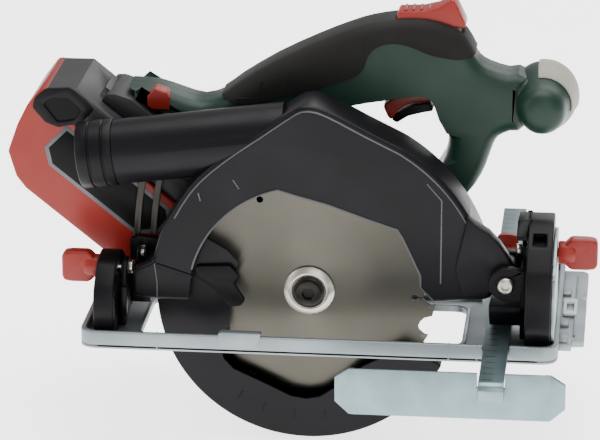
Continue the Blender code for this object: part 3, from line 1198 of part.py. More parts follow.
def build_battery():
    """Seat on the tool, and the pack: red shell, grey top with a rail, cells and contacts."""
    low = HANDLE_SIDE - PACK_WIDTH / 2
    high = HANDLE_SIDE + PACK_WIDTH / 2
    seat_line = [(-196, 19.0), (-126, 19.0), (-126, 30), (-131, 32.2), (-181, 32.2), (-192, 28), (-196, 24.5)]
    seat = upright("battery_seat", [pack_outline(seat_line)], low + 14 * MM, high - 14 * MM, "rubber_black")
    track = upright("seat_track", [pack_outline([(-220, 15), (-132, 15), (-132, 25.4), (-220, 25.4)])],
                    HANDLE_SIDE - 16 * MM, HANDLE_SIDE + 16 * MM, None)
    combine(seat, track)
    top_line = [(-225.2, 0.4), (-108, 0.4), (-108, 12), (-113, 18.6), (-214, 18.6), (-229, 6.3), (-225.2, 6.3)]
    case = upright("battery_case", [pack_outline(top_line)], low, high, "pack_grey", roundness=3 * MM, steps=1)
    tongue = upright("pack_tongue", [pack_outline([(-199, 10), (-133, 10), (-133, 25), (-199, 25)])],
                     HANDLE_SIDE - 15.6 * MM, HANDLE_SIDE + 15.6 * MM, None)
    combine(case, tongue, "UNION")
    slot = upright("pack_contact_cut", [pack_outline([(-160, 17), (-120, 17), (-120, 40), (-160, 40)])],
                   HANDLE_SIDE - 9 * MM, HANDLE_SIDE + 9 * MM, None)
    combine(case, slot)
    shell_line = [(-232, -12), (-232.5, 3), (-229.4, 6), (-225.5, 6), (-225.5, 0.0), (-108, 0.0), (-108, -49), (-116, -57), (-198, -57), (-208, -54.5)]
    shell_line += [(-222.5, -44.5), (-229, -26)]
    shell = upright("battery_shell", [pack_outline(shell_line)], low, high, "signal_red", roundness=3 * MM, steps=1)
    room_line = [(-228, -8), (-228, 10), (-112, 10), (-112, -47), (-118, -53), (-198, -53), (-206, -50.5)]
    room_line += [(-218.5, -42), (-225, -24)]
    room = upright("shell_room", [pack_outline(room_line)], low + 3.5 * MM, high - 3.5 * MM, None)
    combine(shell, room)
    cells = upright("cell_block", [cell_outline()], low + 5 * MM, high - 5 * MM, "board_green")
    contact_line = [(-158, 19.4), (-131, 19.4), (-131, 23.4), (-158, 23.4)]
    contacts = upright("battery_contacts", [pack_outline(contact_line)], HANDLE_SIDE - 7 * MM, HANDLE_SIDE + 7 * MM, "copper")
    lead = upright("contact_root", [pack_outline([(-131.5, 19.4), (-126.5, 19.4), (-126.5, 23.4), (-131.5, 23.4)])],
                   HANDLE_SIDE - 7 * MM, HANDLE_SIDE + 7 * MM, None)
    combine(contacts, lead, "UNION")
    pocket = upright("seat_contact_cut", [pack_outline([(-133, 19.1), (-126.2, 19.1), (-126.2, 23.7), (-133, 23.7)])],
                     HANDLE_SIDE - 7.3 * MM, HANDLE_SIDE + 7.3 * MM, None)
    combine(seat, pocket)
    x, z = pack_point(-170, -20)
    pivot("battery_axis", spot_at(x, HANDLE_SIDE, z), case, shell, cells)
    return seat, case, shell, cells, contacts


def cell_outline():
    """Outline of two rows of five round cells with their holder."""
    radius = 9.8
    rows = []
    for row, above in ((0, -42.0), (1, -19.5)):
        cells = range(5) if row == 0 else range(4, -1, -1)
        for index in cells:
            centre = -198.5 + index * 18.8
            first, last = (200, 340) if row == 0 else (20, 160)
            for a, b in arc(centre, above, radius, first, last, 6):
                rows.append((a, b))
    return pack_outline(rows)


# ---------------------------------------------------------------- assembly


def build():
    """Every piece of the saw."""
    build_base_plate()
    build_front_quadrant()
    build_scale_plate()
    build_rear_quadrant()
    build_cut_indicator()
    arm, fence, _ = build_guide()
    pivot("guide_axis", spot_at(ARM_X, 0.0, ARM_BOTTOM), arm, fence)
    hinge_block = build_front_hinge_block()
    pivot_screw = build_depth_pivot_screw()
    bracket = build_rear_tilt_bracket()
    guide = build_depth_guide()
    front_bolt = bevel_bolt("front_bevel_bolt", 174.5 * MM, 137.3 * MM, FRONT_BOLT_SIDE, FRONT_BOLT_Z)
    rear_bolt = bevel_bolt("rear_bevel_bolt", -147.5 * MM, -117.4 * MM, REAR_BOLT_SIDE, REAR_BOLT_Z)
    wing_knob("front_wing_knob", 160.7 * MM, 186 * MM, FRONT_BOLT_SIDE, FRONT_BOLT_Z)
    wing_knob("rear_wing_knob", -134.8 * MM, -160.5 * MM, REAR_BOLT_SIDE, REAR_BOLT_Z)
    tilting = (hinge_block, pivot_screw, bracket, guide, front_bolt, rear_bolt)
    pivot("bevel_axis", spot_at(0.0, BEVEL_SIDE, BEVEL_Z), *tilting)
    guard = build_upper_guard()
    build_guard_screws()
    build_dust_nozzle()
    case = build_gear_case()
    build_spindle_lock()
    build_motor()
    build_spindle_group()
    build_lower_guard()
    build_depth_clamp()
    build_handle()
    build_soft_grip()
    build_front_knob()
    build_controls()
    build_housing_screws()
    build_battery()
    pivot("depth_axis", DEPTH_PIVOT, guard, case)


build()
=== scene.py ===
"""Looks of a cordless circular saw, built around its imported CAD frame.

Sizes are millimetres until a mesh is placed. Points are (forward, side, up): forward and up from
the spot on the sole below the spindle, and side from the blade's mid-plane towards the motor.
"""

from __future__ import annotations

import logging
import math
from dataclasses import dataclass, field
from enum import Enum
from typing import Callable, Iterable, Sequence

import bmesh
import bpy
from mathutils import Matrix, Vector


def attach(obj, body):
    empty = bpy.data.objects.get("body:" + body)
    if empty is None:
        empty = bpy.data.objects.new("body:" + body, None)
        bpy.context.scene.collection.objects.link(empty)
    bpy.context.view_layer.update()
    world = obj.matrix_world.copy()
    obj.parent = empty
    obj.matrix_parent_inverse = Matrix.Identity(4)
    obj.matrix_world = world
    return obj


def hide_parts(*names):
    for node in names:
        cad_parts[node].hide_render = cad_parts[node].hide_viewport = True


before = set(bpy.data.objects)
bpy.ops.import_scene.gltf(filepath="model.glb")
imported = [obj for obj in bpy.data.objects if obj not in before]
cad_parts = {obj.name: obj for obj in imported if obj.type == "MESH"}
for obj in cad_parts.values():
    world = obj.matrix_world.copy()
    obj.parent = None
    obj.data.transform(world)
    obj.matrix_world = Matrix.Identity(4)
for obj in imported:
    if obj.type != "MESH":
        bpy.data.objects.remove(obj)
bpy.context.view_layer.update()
LOG = logging.getLogger("circular_saw")

MM = 0.001
BLADE_PLANE = -62.0  # side of the blade's mid-plane in the frame
SPINDLE_UP = 25.5
BEVEL_AXIS = (-18.0, 9.0)
PIVOT = (128.7, 45.2)
HANDLE_SIDE = 62.0
ARM_FORWARD = 124.0  # mid-line of the guide's arm
FLOOR_UP = -75.0
PACK_TURN = math.radians(-39.0)  # slope of the battery's long side
CLOSE = 0.00001  # metres within which two vertices are one
FLAT = 0.004  # angle between faces, in radians, below which they are one face

Pair = tuple[float, float]
Spot = tuple[float, float, float]
Colour = tuple[float, float, float, float]
Loop = list[Pair]
Item = bpy.types.Object
Shape = bmesh.types.BMesh
Edge = bmesh.types.BMEdge
Tree = bpy.types.NodeTree
Socket = bpy.types.NodeSocket


class Across(Enum):
    """The direction of a plate's thickness or a turned piece's axis."""

    FORWARD = "forward"
    SIDE = "side"
    UP = "up"


def place(a: float, b: float, height: float, across: Across) -> Vector:
    """A frame point in metres from an outline point and its height across the outline.

    Args:
        a: First outline coordinate: forward, or side where the thickness runs forward.
        b: Second outline coordinate: up, or side where the thickness runs up.
        height: Distance along the thickness.
        across: Direction of the thickness.

    Returns:
        The point in the frame.
    """
    if across is Across.SIDE:
        spot = Vector((a, height + BLADE_PLANE, b))
    elif across is Across.FORWARD:
        spot = Vector((height, a + BLADE_PLANE, b))
    else:
        spot = Vector((a, b + BLADE_PLANE, height))
    return spot * MM


# ---------------------------------------------------------------- outlines


def arc(x: float, y: float, radius: float, first: float, last: float, count: int) -> Loop:
    """Points on an arc; angles are in degrees."""
    step = (last - first) / (count - 1)
    turns = [math.radians(first + step * i) for i in range(count)]
    return [(x + radius * math.cos(t), y + radius * math.sin(t)) for t in turns]


def circle(x: float, y: float, radius: float, count: int = 32) -> Loop:
    """Points on a full circle."""
    return arc(x, y, radius, 0.0, 360.0 - 360.0 / count, count)


def rectangle(low: Pair, high: Pair) -> Loop:
    """The corners of a rectangle."""
    return [(low[0], low[1]), (high[0], low[1]), (high[0], high[1]), (low[0], high[1])]


def rounded(loop: Loop, radius: float, steps: int = 5) -> Loop:
    """A loop with each corner rounded by as much as its sides allow.

    Args:
        loop: The corners.
        radius: How far from a corner the rounding starts.
        steps: Segments in each corner.

    Returns:
        The rounded loop.
    """
    made: Loop = []
    for index, corner in enumerate(loop):
        here = Vector(corner)
        before = Vector(loop[index - 1]) - here
        after = Vector(loop[(index + 1) % len(loop)]) - here
        reach = min(radius, before.length * 0.48, after.length * 0.48)
        first = here + before.normalized() * reach
        last = here + after.normalized() * reach
        for k in range(steps + 1):
            t = k / steps
            spot = first * (1 - t) ** 2 + here * 2 * t * (1 - t) + last * t**2
            made.append((spot.x, spot.y))
    return made


def pack_spot(along: float, above: float) -> Pair:
    """A (forward, up) point from its distances along and above the battery's long side."""
    x = along * math.cos(PACK_TURN) - above * math.sin(PACK_TURN)
    return (x, along * math.sin(PACK_TURN) + above * math.cos(PACK_TURN))


def pack_loop(pairs: Iterable[Pair]) -> Loop:
    """A loop given along and above the battery's long side."""
    return [pack_spot(a, b) for a, b in pairs]


# ---------------------------------------------------------------- mesh work


def link(name: str, data: bpy.types.ID) -> Item:
    """A new object in the scene."""
    item = bpy.data.objects.new(name, data)
    bpy.context.scene.collection.objects.link(item)
    return item


def to_object(shape: Shape, name: str) -> Item:
    """Turn a finished bmesh into an object at the origin."""
    mesh = bpy.data.meshes.new(name)
    shape.to_mesh(mesh)
    shape.free()
    return link(name, mesh)


def face_outwards(shape: Shape) -> None:
    """Make the faces of a closed shape point outwards."""
    bmesh.ops.recalc_face_normals(shape, faces=shape.faces)
    if shape.calc_volume(signed=True) < 0:
        bmesh.ops.reverse_faces(shape, faces=shape.faces)


def round_edges(
    shape: Shape,
    width: float,
    segments: int = 2,
    angle: float = 32.0,
    chosen: Callable[[Edge], bool] | None = None,
) -> None:
    """Bevel the edges that are sharper than an angle.

    Args:
        shape: The shape to change.
        width: Bevel width in millimetres.
        segments: Steps across the bevel.
        angle: Least angle between two faces for their edge to be bevelled, in degrees.
        chosen: A test that an edge must also pass.
    """
    least = math.radians(angle)
    edges = [e for e in shape.edges if e.is_manifold and e.calc_face_angle(0.0) > least]
    if chosen:
        edges = [e for e in edges if chosen(e)]
    bmesh.ops.bevel(
        shape, geom=edges, offset=width * MM, offset_type="OFFSET", segments=segments,
        profile=0.5, affect="EDGES", clamp_overlap=False, material=-1,
    )


def plate(
    name: str,
    loops: Sequence[Loop],
    low: float,
    high: float,
    across: Across = Across.SIDE,
    edge: float = 0.0,
    segments: int = 2,
) -> Item:
    """A flat piece: the first loop is its outline and any others are holes through it.

    Args:
        name: Object name.
        loops: Closed outlines.
        low: Where the thickness starts.
        high: Where the thickness ends.
        across: Direction of the thickness.
        edge: Rounding of the rims.
        segments: Steps across the rounding.

    Returns:
        The closed mesh object.
    """
    shape = bmesh.new()
    rims = []
    for loop in loops:
        verts = [shape.verts.new(place(a, b, low, across)) for a, b in loop]
        rims += [shape.edges.new((verts[i - 1], verts[i])) for i in range(len(verts))]
    if len(loops) == 1:
        bmesh.ops.contextual_create(shape, geom=rims)
    else:
        bmesh.ops.triangle_fill(shape, use_beauty=True, use_dissolve=False, edges=rims)
        bmesh.ops.dissolve_limit(
            shape, angle_limit=0.01, use_dissolve_boundaries=False, verts=[], edges=shape.edges
        )
    raised = bmesh.ops.extrude_face_region(shape, geom=shape.faces[:])["geom"]
    lift = place(0, 0, high, across) - place(0, 0, low, across)
    bmesh.ops.translate(shape, vec=lift, verts=[g for g in raised if isinstance(g, bmesh.types.BMVert)])
    face_outwards(shape)
    if edge:
        round_edges(shape, edge, segments)
    return to_object(shape, name)


def turned(
    name: str,
    profile: Loop,
    centre: Spot,
    across: Across = Across.SIDE,
    steps: int = 64,
    ring: bool = False,
) -> Item:
    """A turned piece.

    Args:
        name: Object name.
        profile: (radius, distance along the axis from the centre) points.
        centre: (forward, side, up) of the profile's zero.
        across: Direction of the axis.
        steps: Segments round the piece.
        ring: Whether the profile closes on itself instead of ending on the axis.

    Returns:
        The closed mesh object.
    """
    shape = bmesh.new()
    x, y, z = centre
    middle = Vector((x, y + BLADE_PLANE, z)) * MM
    along = {Across.SIDE: Vector((0, 1, 0)), Across.FORWARD: Vector((1, 0, 0)), Across.UP: Vector((0, 0, 1))}
    out = {Across.SIDE: Vector((0, 0, 1)), Across.FORWARD: Vector((0, 0, 1)), Across.UP: Vector((1, 0, 0))}
    verts = [shape.verts.new(middle + (out[across] * r + along[across] * h) * MM) for r, h in profile]
    edges = [shape.edges.new((a, b)) for a, b in zip(verts, verts[1:])]
    if ring:
        edges.append(shape.edges.new((verts[-1], verts[0])))
    bmesh.ops.spin(
        shape, geom=verts + edges, cent=middle, axis=along[across], dvec=(0, 0, 0),
        angle=math.tau, steps=steps, use_merge=True, use_normal_flip=False, use_duplicate=False,
    )
    bmesh.ops.remove_doubles(shape, verts=shape.verts, dist=CLOSE)
    face_outwards(shape)
    return to_object(shape, name)


def block(
    name: str,
    low: Spot,
    high: Spot,
    edge: float = 0.0,
    segments: int = 2,
) -> Item:
    """A block between two (forward, side, up) corners, with rounded edges."""
    loop = rectangle((low[0], low[2]), (high[0], high[2]))
    return plate(name, [loop], low[1], high[1], Across.SIDE, edge, segments)


def combine(item: Item, other: Item, kind: str = "DIFFERENCE") -> Item:
    """Apply a Boolean with another object at once, and remove that object.

    Args:
        item: The piece that stays.
        other: The piece that is joined to it or cut from it.
        kind: UNION, DIFFERENCE or INTERSECT.

    Returns:
        The first piece, with its new mesh.
    """
    before = item.data
    for solver in ("MANIFOLD", "EXACT"):
        boolean = item.modifiers.new("Join", "BOOLEAN")
        boolean.operation = kind
        boolean.object = other
        boolean.solver = solver
        item.data = final_mesh(item)
        item.modifiers.clear()
        if item.data.vertices:
            break
        item.data = before
    bpy.data.objects.remove(other, do_unlink=True)
    return item


def final_mesh(item: Item) -> bpy.types.Mesh:
    """The mesh of an object with its modifiers applied."""
    bpy.context.view_layer.update()
    return bpy.data.meshes.new_from_object(item.evaluated_get(bpy.context.evaluated_depsgraph_get()))


def reshape(item: Item, change: Callable[[Shape], None]) -> Item:
    """Run a change on a piece's mesh as a bmesh."""
    shape = bmesh.new()
    shape.from_mesh(item.data)
    change(shape)
    shape.to_mesh(item.data)
    shape.free()
    return item


def tidy(item: Item, edge: float, segments: int = 2, angle: float = 32.0) -> Item:
    """Merge the doubles and the flat neighbours of a cut mesh, then round its sharp edges."""

    def change(shape: Shape) -> None:
        bmesh.ops.remove_doubles(shape, verts=shape.verts, dist=2 * CLOSE)
        bmesh.ops.dissolve_limit(
            shape, angle_limit=FLAT, use_dissolve_boundaries=False, verts=shape.verts, edges=shape.edges
        )
        if edge:
            round_edges(shape, edge, segments, angle)

    return reshape(item, change)


def merged(name: str, *items: Item) -> Item:
    """One object that holds the meshes of several."""
    shape = bmesh.new()
    for item in items:
        shape.from_mesh(item.data)
        bpy.data.objects.remove(item, do_unlink=True)
    return to_object(shape, name)


def tube(name: str, path: Sequence[Vector], radius: float, sides: int = 8) -> Item:
    """A round bar along a path of frame points, with closed ends.

    Args:
        name: Object name.
        path: Points in metres.
        radius: Radius in millimetres.
        sides: Sides of its section.

    Returns:
        The closed mesh object.
    """
    curve = bpy.data.curves.new(name, "CURVE")
    curve.dimensions = "3D"
    curve.bevel_depth = radius * MM
    curve.bevel_resolution = max(0, sides // 4)
    curve.use_fill_caps = True
    spline = curve.splines.new("POLY")
    spline.points.add(len(path) - 1)
    for point, spot in zip(spline.points, path):
        point.co = (*spot, 1.0)
    item = link(name, curve)
    mesh = final_mesh(item)
    bpy.data.objects.remove(item, do_unlink=True)

    def weld(shape: Shape) -> None:
        bmesh.ops.remove_doubles(shape, verts=shape.verts, dist=CLOSE)

    return reshape(link(name, mesh), weld)


# ---------------------------------------------------------------- finishes


def linear(colour: str) -> Colour:
    """An sRGB hex colour as the linear colour that a shader socket takes."""
    parts = [int(colour[i : i + 2], 16) / 255 for i in (1, 3, 5)]
    turned_parts = [p / 12.92 if p <= 0.04045 else ((p + 0.055) / 1.055) ** 2.4 for p in parts]
    return (turned_parts[0], turned_parts[1], turned_parts[2], 1.0)


def add_node(
    tree: Tree, kind: str, inputs: dict | None = None, **settings: object
) -> bpy.types.Node:
    """Add a node with its settings, input values and links.

    Args:
        tree: The material's node tree.
        kind: Node type without its ShaderNode prefix.
        inputs: Input name or number to a value, or to the socket that feeds it.
        **settings: Properties of the node.

    Returns:
        The new node.
    """
    node = tree.nodes.new("ShaderNode" + kind)
    for name, value in settings.items():
        setattr(node, name, value)
    for name, value in (inputs or {}).items():
        if isinstance(value, Socket):
            tree.links.new(value, node.inputs[name])
        else:
            node.inputs[name].default_value = value
    return node


def ramp(node: bpy.types.Node, *stops: tuple[float, Colour]) -> bpy.types.Node:
    """Set a Color Ramp's stops."""
    elements = node.color_ramp.elements
    while len(elements) < len(stops):
        elements.new(0.5)
    for element, (spot, colour) in zip(elements, stops):
        element.position = spot
        element.color = colour
    return node


@dataclass(frozen=True)
class Finish:
    """A surface: its colour, how rough it is, its grain and its unevenness."""

    name: str
    slot: str
    colour: str
    shade: str
    roughness: float
    metallic: float = 0.0
    grain: float = 1.0  # millimetres from one grain to the next
    depth: float = 0.02  # millimetres from the top of a grain to its foot
    blotch: float = 35.0  # millimetres across a patch of slightly other colour
    sheen: float = 0.0
    variation: float = 0.06
    gloss: float = 0.5  # specular level; filled black plastics reflect less than clear ones
    stretch: Spot | None = None  # how the grain is drawn out along each direction
    detail: float = 2.0  # octaves of the grain

    def material(self) -> bpy.types.Material:
        """The finish's material, made once."""
        made = bpy.data.materials.get(self.name)
        if made is None:
            made = bpy.data.materials.new(self.name)
            made.use_nodes = True
            self.build(made.node_tree)
        return made

    def build(self, tree: Tree) -> None:
        """Fill the node tree."""
        shader = tree.nodes["Principled BSDF"]
        shader.inputs["Metallic"].default_value = self.metallic
        shader.inputs["Specular IOR Level"].default_value = self.gloss
        shader.inputs["Sheen Weight"].default_value = self.sheen
        spot = add_node(tree, "TexCoord").outputs["Object"]
        patches = add_node(
            tree, "TexNoise", {"Vector": spot, "Scale": 1 / (self.blotch * MM), "Detail": 3.0}
        ).outputs["Fac"]
        stops = (0.32, linear(self.shade)), (0.68, linear(self.colour))
        colour = ramp(add_node(tree, "ValToRGB", {"Fac": patches}), *stops).outputs["Color"]
        grain = self.grain_height(tree, spot)
        gloss = add_node(
            tree, "MapRange",
            {"Value": patches, "From Min": 0.3, "From Max": 0.7,
             "To Min": self.roughness + self.variation, "To Max": self.roughness - self.variation},
        ).outputs["Result"]
        bump = add_node(
            tree, "Bump", {"Height": grain, "Strength": 1.0, "Distance": self.depth * MM}
        ).outputs["Normal"]
        tree.links.new(self.tint(tree, spot, colour), shader.inputs["Base Color"])
        tree.links.new(gloss, shader.inputs["Roughness"])
        tree.links.new(bump, shader.inputs["Normal"])

    def grain_height(self, tree: Tree, spot: Socket) -> Socket:
        """Height of the grain, between 0 and 1, drawn out where the finish says so."""
        if self.stretch:
            spot = add_node(tree, "Mapping", {"Vector": spot, "Scale": self.stretch}).outputs["Vector"]
        return add_node(
            tree, "TexNoise", {"Vector": spot, "Scale": 1 / (self.grain * MM), "Detail": self.detail}
        ).outputs["Fac"]

    def tint(self, tree: Tree, spot: Socket, colour: Socket) -> Socket:
        """What is laid over the base colour; nothing on a plain surface."""
        return colour


@dataclass(frozen=True)
class RolledSheet(Finish):
    """Zinc-plated sheet: fine lines along the rolling direction, and stamped scale marks across it."""

    metallic: float = 0.9
    grain: float = 1.2
    depth: float = 0.006
    blotch: float = 18.0
    detail: float = 3.0
    marks: Pair | None = None  # spacing and width of the marks
    mark_range: Pair = (0.0, 0.0)  # forward extent of the marks

    def tint(self, tree: Tree, spot: Socket, colour: Socket) -> Socket:
        """Dark stamped marks at a regular spacing within a strip."""
        if self.marks is None:
            return colour
        spacing, width = self.marks
        parts = add_node(tree, "SeparateXYZ", {"Vector": spot})
        cross = parts.outputs["X"]
        step = add_node(
            tree, "Math", {0: parts.outputs["Y"], 1: spacing * MM}, operation="PINGPONG"
        ).outputs["Value"]
        line = add_node(tree, "Math", {0: step, 1: width * MM / 2}, operation="LESS_THAN").outputs["Value"]
        low = add_node(
            tree, "Math", {0: cross, 1: self.mark_range[0] * MM}, operation="GREATER_THAN"
        ).outputs["Value"]
        high = add_node(
            tree, "Math", {0: cross, 1: self.mark_range[1] * MM}, operation="LESS_THAN"
        ).outputs["Value"]
        inside = add_node(tree, "Math", {0: low, 1: high}, operation="MULTIPLY").outputs["Value"]
        shown = add_node(tree, "Math", {0: inside, 1: line}, operation="MULTIPLY").outputs["Value"]
        return add_node(
            tree, "Mix", {"Factor": shown, "A": colour, "B": linear("#3A4144")}, data_type="RGBA"
        ).outputs["Result"]


@dataclass(frozen=True)
class GroundDisc(Finish):
    """Ground and lacquered blade steel: circular grinding lines and faint printed rings."""

    rings: float = 1.1  # millimetres from one grinding line to the next

    def build(self, tree: Tree) -> None:
        """Add anisotropy along the grinding lines to the plain build."""
        super().build(tree)
        shader = tree.nodes["Principled BSDF"]
        shader.inputs["Anisotropic"].default_value = 0.85
        tangent = add_node(tree, "Tangent", direction_type="RADIAL", axis="Y").outputs["Tangent"]
        tree.links.new(tangent, shader.inputs["Tangent"])

    def reach(self, tree: Tree, spot: Socket) -> Socket:
        """Distance from the spindle's axis in metres."""
        moved = add_node(
            tree, "Mapping", {"Vector": spot, "Location": (0, 0, -SPINDLE_UP * MM), "Scale": (1, 0, 1)}
        ).outputs["Vector"]
        return add_node(tree, "VectorMath", {0: moved}, operation="LENGTH").outputs["Value"]

    def grain_height(self, tree: Tree, spot: Socket) -> Socket:
        """Rings about the spindle of uneven height."""
        reach = self.reach(tree, spot)
        line = add_node(tree, "CombineXYZ", {"X": reach}).outputs["Vector"]
        return add_node(
            tree, "TexNoise", {"Vector": line, "Scale": 1 / (self.rings * MM), "Detail": 4.0}
        ).outputs["Fac"]

    def tint(self, tree: Tree, spot: Socket, colour: Socket) -> Socket:
        """Two thin printed rings, broken by their print's wear."""
        reach = self.reach(tree, spot)
        shown: Socket | None = None
        for radius in (31.0, 58.0):
            off = add_node(tree, "Math", {0: reach, 1: radius * MM}, operation="SUBTRACT").outputs["Value"]
            away = add_node(tree, "Math", {0: off}, operation="ABSOLUTE").outputs["Value"]
            line = add_node(tree, "Math", {0: away, 1: 0.35 * MM}, operation="LESS_THAN").outputs["Value"]
            if shown is None:
                shown = line
            else:
                shown = add_node(tree, "Math", {0: shown, 1: line}, operation="MAXIMUM").outputs["Value"]
        worn = add_node(tree, "TexNoise", {"Vector": spot, "Scale": 160.0, "Detail": 2.0}).outputs["Fac"]
        kept = add_node(tree, "Math", {0: worn, 1: 0.5}, operation="GREATER_THAN").outputs["Value"]
        part = add_node(tree, "Math", {0: shown, 1: kept}, operation="MULTIPLY").outputs["Value"]
        faint = add_node(tree, "Math", {0: part, 1: 0.45}, operation="MULTIPLY").outputs["Value"]
        return add_node(
            tree, "Mix", {"Factor": faint, "A": colour, "B": linear("#5C5230")}, data_type="RGBA"
        ).outputs["Result"]


@dataclass(frozen=True)
class TurnedSteel(Finish):
    """Turned or rolled metal: fine tool lines that run round the piece."""

    metallic: float = 1.0
    depth: float = 0.006
    stretch: Spot | None = (1.0, 0.15, 1.0)


# Glass-filled nylon, moulded with a fine spark texture: soft wide highlights, no sparkle.
GREEN_NYLON = Finish(
    "moulded_green_nylon", "green_plastic", "#112B21", "#0E251C", 0.42, grain=0.9, depth=0.018, gloss=0.25
)
# The same nylon in black, on chute end, quadrants and lever: reads as flat, even black.
BLACK_NYLON = Finish("moulded_black_nylon", "black_plastic", "#0C0B0E", "#09090B", 0.42, grain=0.9, gloss=0.12)
# Powder-coated magnesium: slight orange peel and a dull sheen along the edges.
BLACK_COAT = Finish(
    "powder_coated_magnesium", "black_metal", "#0D0C10", "#0A090C", 0.38, grain=1.6, depth=0.03, gloss=0.14
)
# The same coat, lighter and glossier, on the guard's thin rims: its lighter colour is a painted highlight line.
HIGHLIGHT_LINE_COAT = Finish(
    "powder_coat_painted_highlight", "black_metal", "#2C2C31", "#232327", 0.28, grain=1.6, depth=0.01, gloss=0.6
)
# Overmoulded thermoplastic rubber: matt, dusty, almost no highlight.
SOFT_RUBBER = Finish(
    "overmoulded_rubber", "soft_rubber", "#191817", "#151413", 0.66, grain=0.8, depth=0.035, sheen=0.03, gloss=0.12
)
# The same rubber in pale grey, on the front handle's cap: a chalky face against the green.
GREY_RUBBER = Finish(
    "overmoulded_grey_rubber", "grey_rubber", "#8E8D82", "#838277", 0.66, grain=0.8, depth=0.03, sheen=0.1
)
# Gloss-moulded ABS in red: brighter highlight than nylon.
RED_ABS = Finish("moulded_red_abs", "red_plastic", "#821D13", "#761910", 0.38, grain=1.4, depth=0.010, gloss=0.3)
# Red nylon of the trigger: darker and duller than the knobs.
DARK_RED = Finish("moulded_dark_red_nylon", "dark_red_plastic", "#6A1813", "#5C140F", 0.42, depth=0.015)
# Grey nylon of the battery's top: one step lighter than the black pieces.
GREY_NYLON = Finish(
    "moulded_grey_nylon", "grey_plastic", "#232325", "#1E1E20", 0.46, grain=0.9, depth=0.018, gloss=0.3
)
# Die-cast aluminium, tumbled: grey, satin, with a fine pitted grain.
CAST_ALUMINIUM = Finish(
    "die_cast_aluminium", "plate", "#858C8F", "#7B8285", 0.48, metallic=0.85, grain=1.3, depth=0.03
)
# Rough sand-textured casting of the gear case: dark and dull.
CASE_CASTING = Finish("gear_case_casting", "cast", "#3F4143", "#37393B", 0.55, metallic=0.8, grain=1.5, depth=0.05)
# Zinc-plated sheet steel: bluish and rather bright, with rolling lines along the fence.
ZINC_SHEET = RolledSheet("zinc_plated_sheet", "zinc", "#7D9094", "#718488", 0.36, stretch=(0.06, 1.0, 1.0))
# The guide's arm in the same sheet: lines along the arm and dark stamped marks across it.
ZINC_ARM = RolledSheet(
    "zinc_plated_arm_with_scale", "zinc", "#7D9094", "#718488", 0.34, stretch=(1.0, 0.06, 1.0),
    marks=(5.0, 1.0), mark_range=(118.0, 124.5),
)
# The bevel scale's sheet: paler, with upright lines.
ZINC_SCALE = RolledSheet(
    "zinc_plated_scale", "zinc", "#8D9799", "#80898C", 0.40, metallic=0.85, stretch=(1.0, 1.0, 0.06)
)
# Ground blade steel under clear lacquer: warm grey, with light drawn out across the grinding rings.
BLADE_STEEL = GroundDisc(
    "ground_blade_steel", "blade_steel", "#4F4D47", "#4B4943", 0.33, metallic=1.0, depth=0.004, blotch=60.0,
    variation=0.02,
)
# Brazed carbide tips: darker and duller than the steel.
CARBIDE = TurnedSteel("brazed_carbide", "blade_steel", "#5A5853", "#4E4C48", 0.42, grain=0.8, depth=0.02)
# Zinc-plated or plain turned steel: bright, with fine tool lines.
BRIGHT_STEEL = TurnedSteel("turned_bright_steel", "steel", "#C0BBB0", "#ADA89E", 0.30)
# Blackened socket screws and the depth guide: dark metal that still glints.
BLACK_STEEL = TurnedSteel("blackened_steel", "dark_steel", "#34322F", "#282624", 0.34, metallic=0.9)
# Pale nylon of the sight insert: near white and matt.
PALE_NYLON = Finish("pale_nylon", "insert", "#C9CCCB", "#BFC2C1", 0.5, depth=0.01)
# Lacquered copper windings and laminations: orange metal with a coarse wound grain.
WINDINGS = Finish("lacquered_copper", "winding", "#9A5A30", "#7E4525", 0.35, metallic=1.0, grain=0.8, depth=0.08)
# Solder mask of the circuit board: even green, slightly glossy.
CIRCUIT = Finish("solder_mask", "board", "#1F6B3E", "#195A34", 0.4, grain=2.0)
# Shrink wrap round the cells: smooth, with wide highlights.
CELL_WRAP = Finish("cell_wrap", "cells", "#3A6458", "#315649", 0.32, grain=3.0, depth=0.01)
# Tinned brass contact blades: pale gold metal.
CONTACTS = Finish("tinned_brass", "contact", "#C9A85A", "#B8964C", 0.3, metallic=1.0, grain=0.8, depth=0.01)
# Seamless studio sheet: even, matt and near white.
PALE_FLOOR = Finish("pale_floor", "insert", "#F4F4F3", "#F1F1F0", 0.9, grain=4.0, depth=0.001, variation=0.02)
# Printed label film: smooth black field and grey border.
# The same black also floors the battery's finger recess, where its darker black is painted shade in the hollow.
LABEL_BLACK_AND_PAINTED_SHADE = Finish(
    "label_black_and_painted_shade", "black_plastic", "#070709", "#060608", 0.45, grain=3.0, depth=0.004, gloss=0.1
)
LABEL_GREY = Finish("label_film_grey", "grey_plastic", "#4A4B4E", "#434447", 0.34, grain=3.0, depth=0.004)


# ---------------------------------------------------------------- pieces


def dress(item: Item, finish: Finish, body: str, nodes: Sequence[str] = (), crisp: float = 38.0) -> Item:
    """Give a piece its finish, its body and the CAD nodes that it stands for.

    Args:
        item: The piece, in its place.
        finish: Its surface.
        body: CAD body that carries it.
        nodes: CAD nodes that it replaces.
        crisp: Edges sharper than this angle stay sharp in the shading, in degrees.

    Returns:
        The piece.
    """
    item.data.materials.clear()
    item.data.materials.append(finish.material())
    item.data.shade_smooth()
    item.data.set_sharp_from_angle(angle=math.radians(crisp))
    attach(item, body)
    if nodes:
        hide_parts(*nodes)
    LOG.info("%s rides on %s in %s", item.name, body, finish.name)
    return item


def softened_copy(node: str, edge: float, segments: int = 2) -> Item:
    """A copy of a CAD node whose sharp edges are rounded."""
    item = link(f"{node}_finished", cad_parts[node].data.copy())
    item.data.materials.clear()
    return tidy(item, edge, segments)


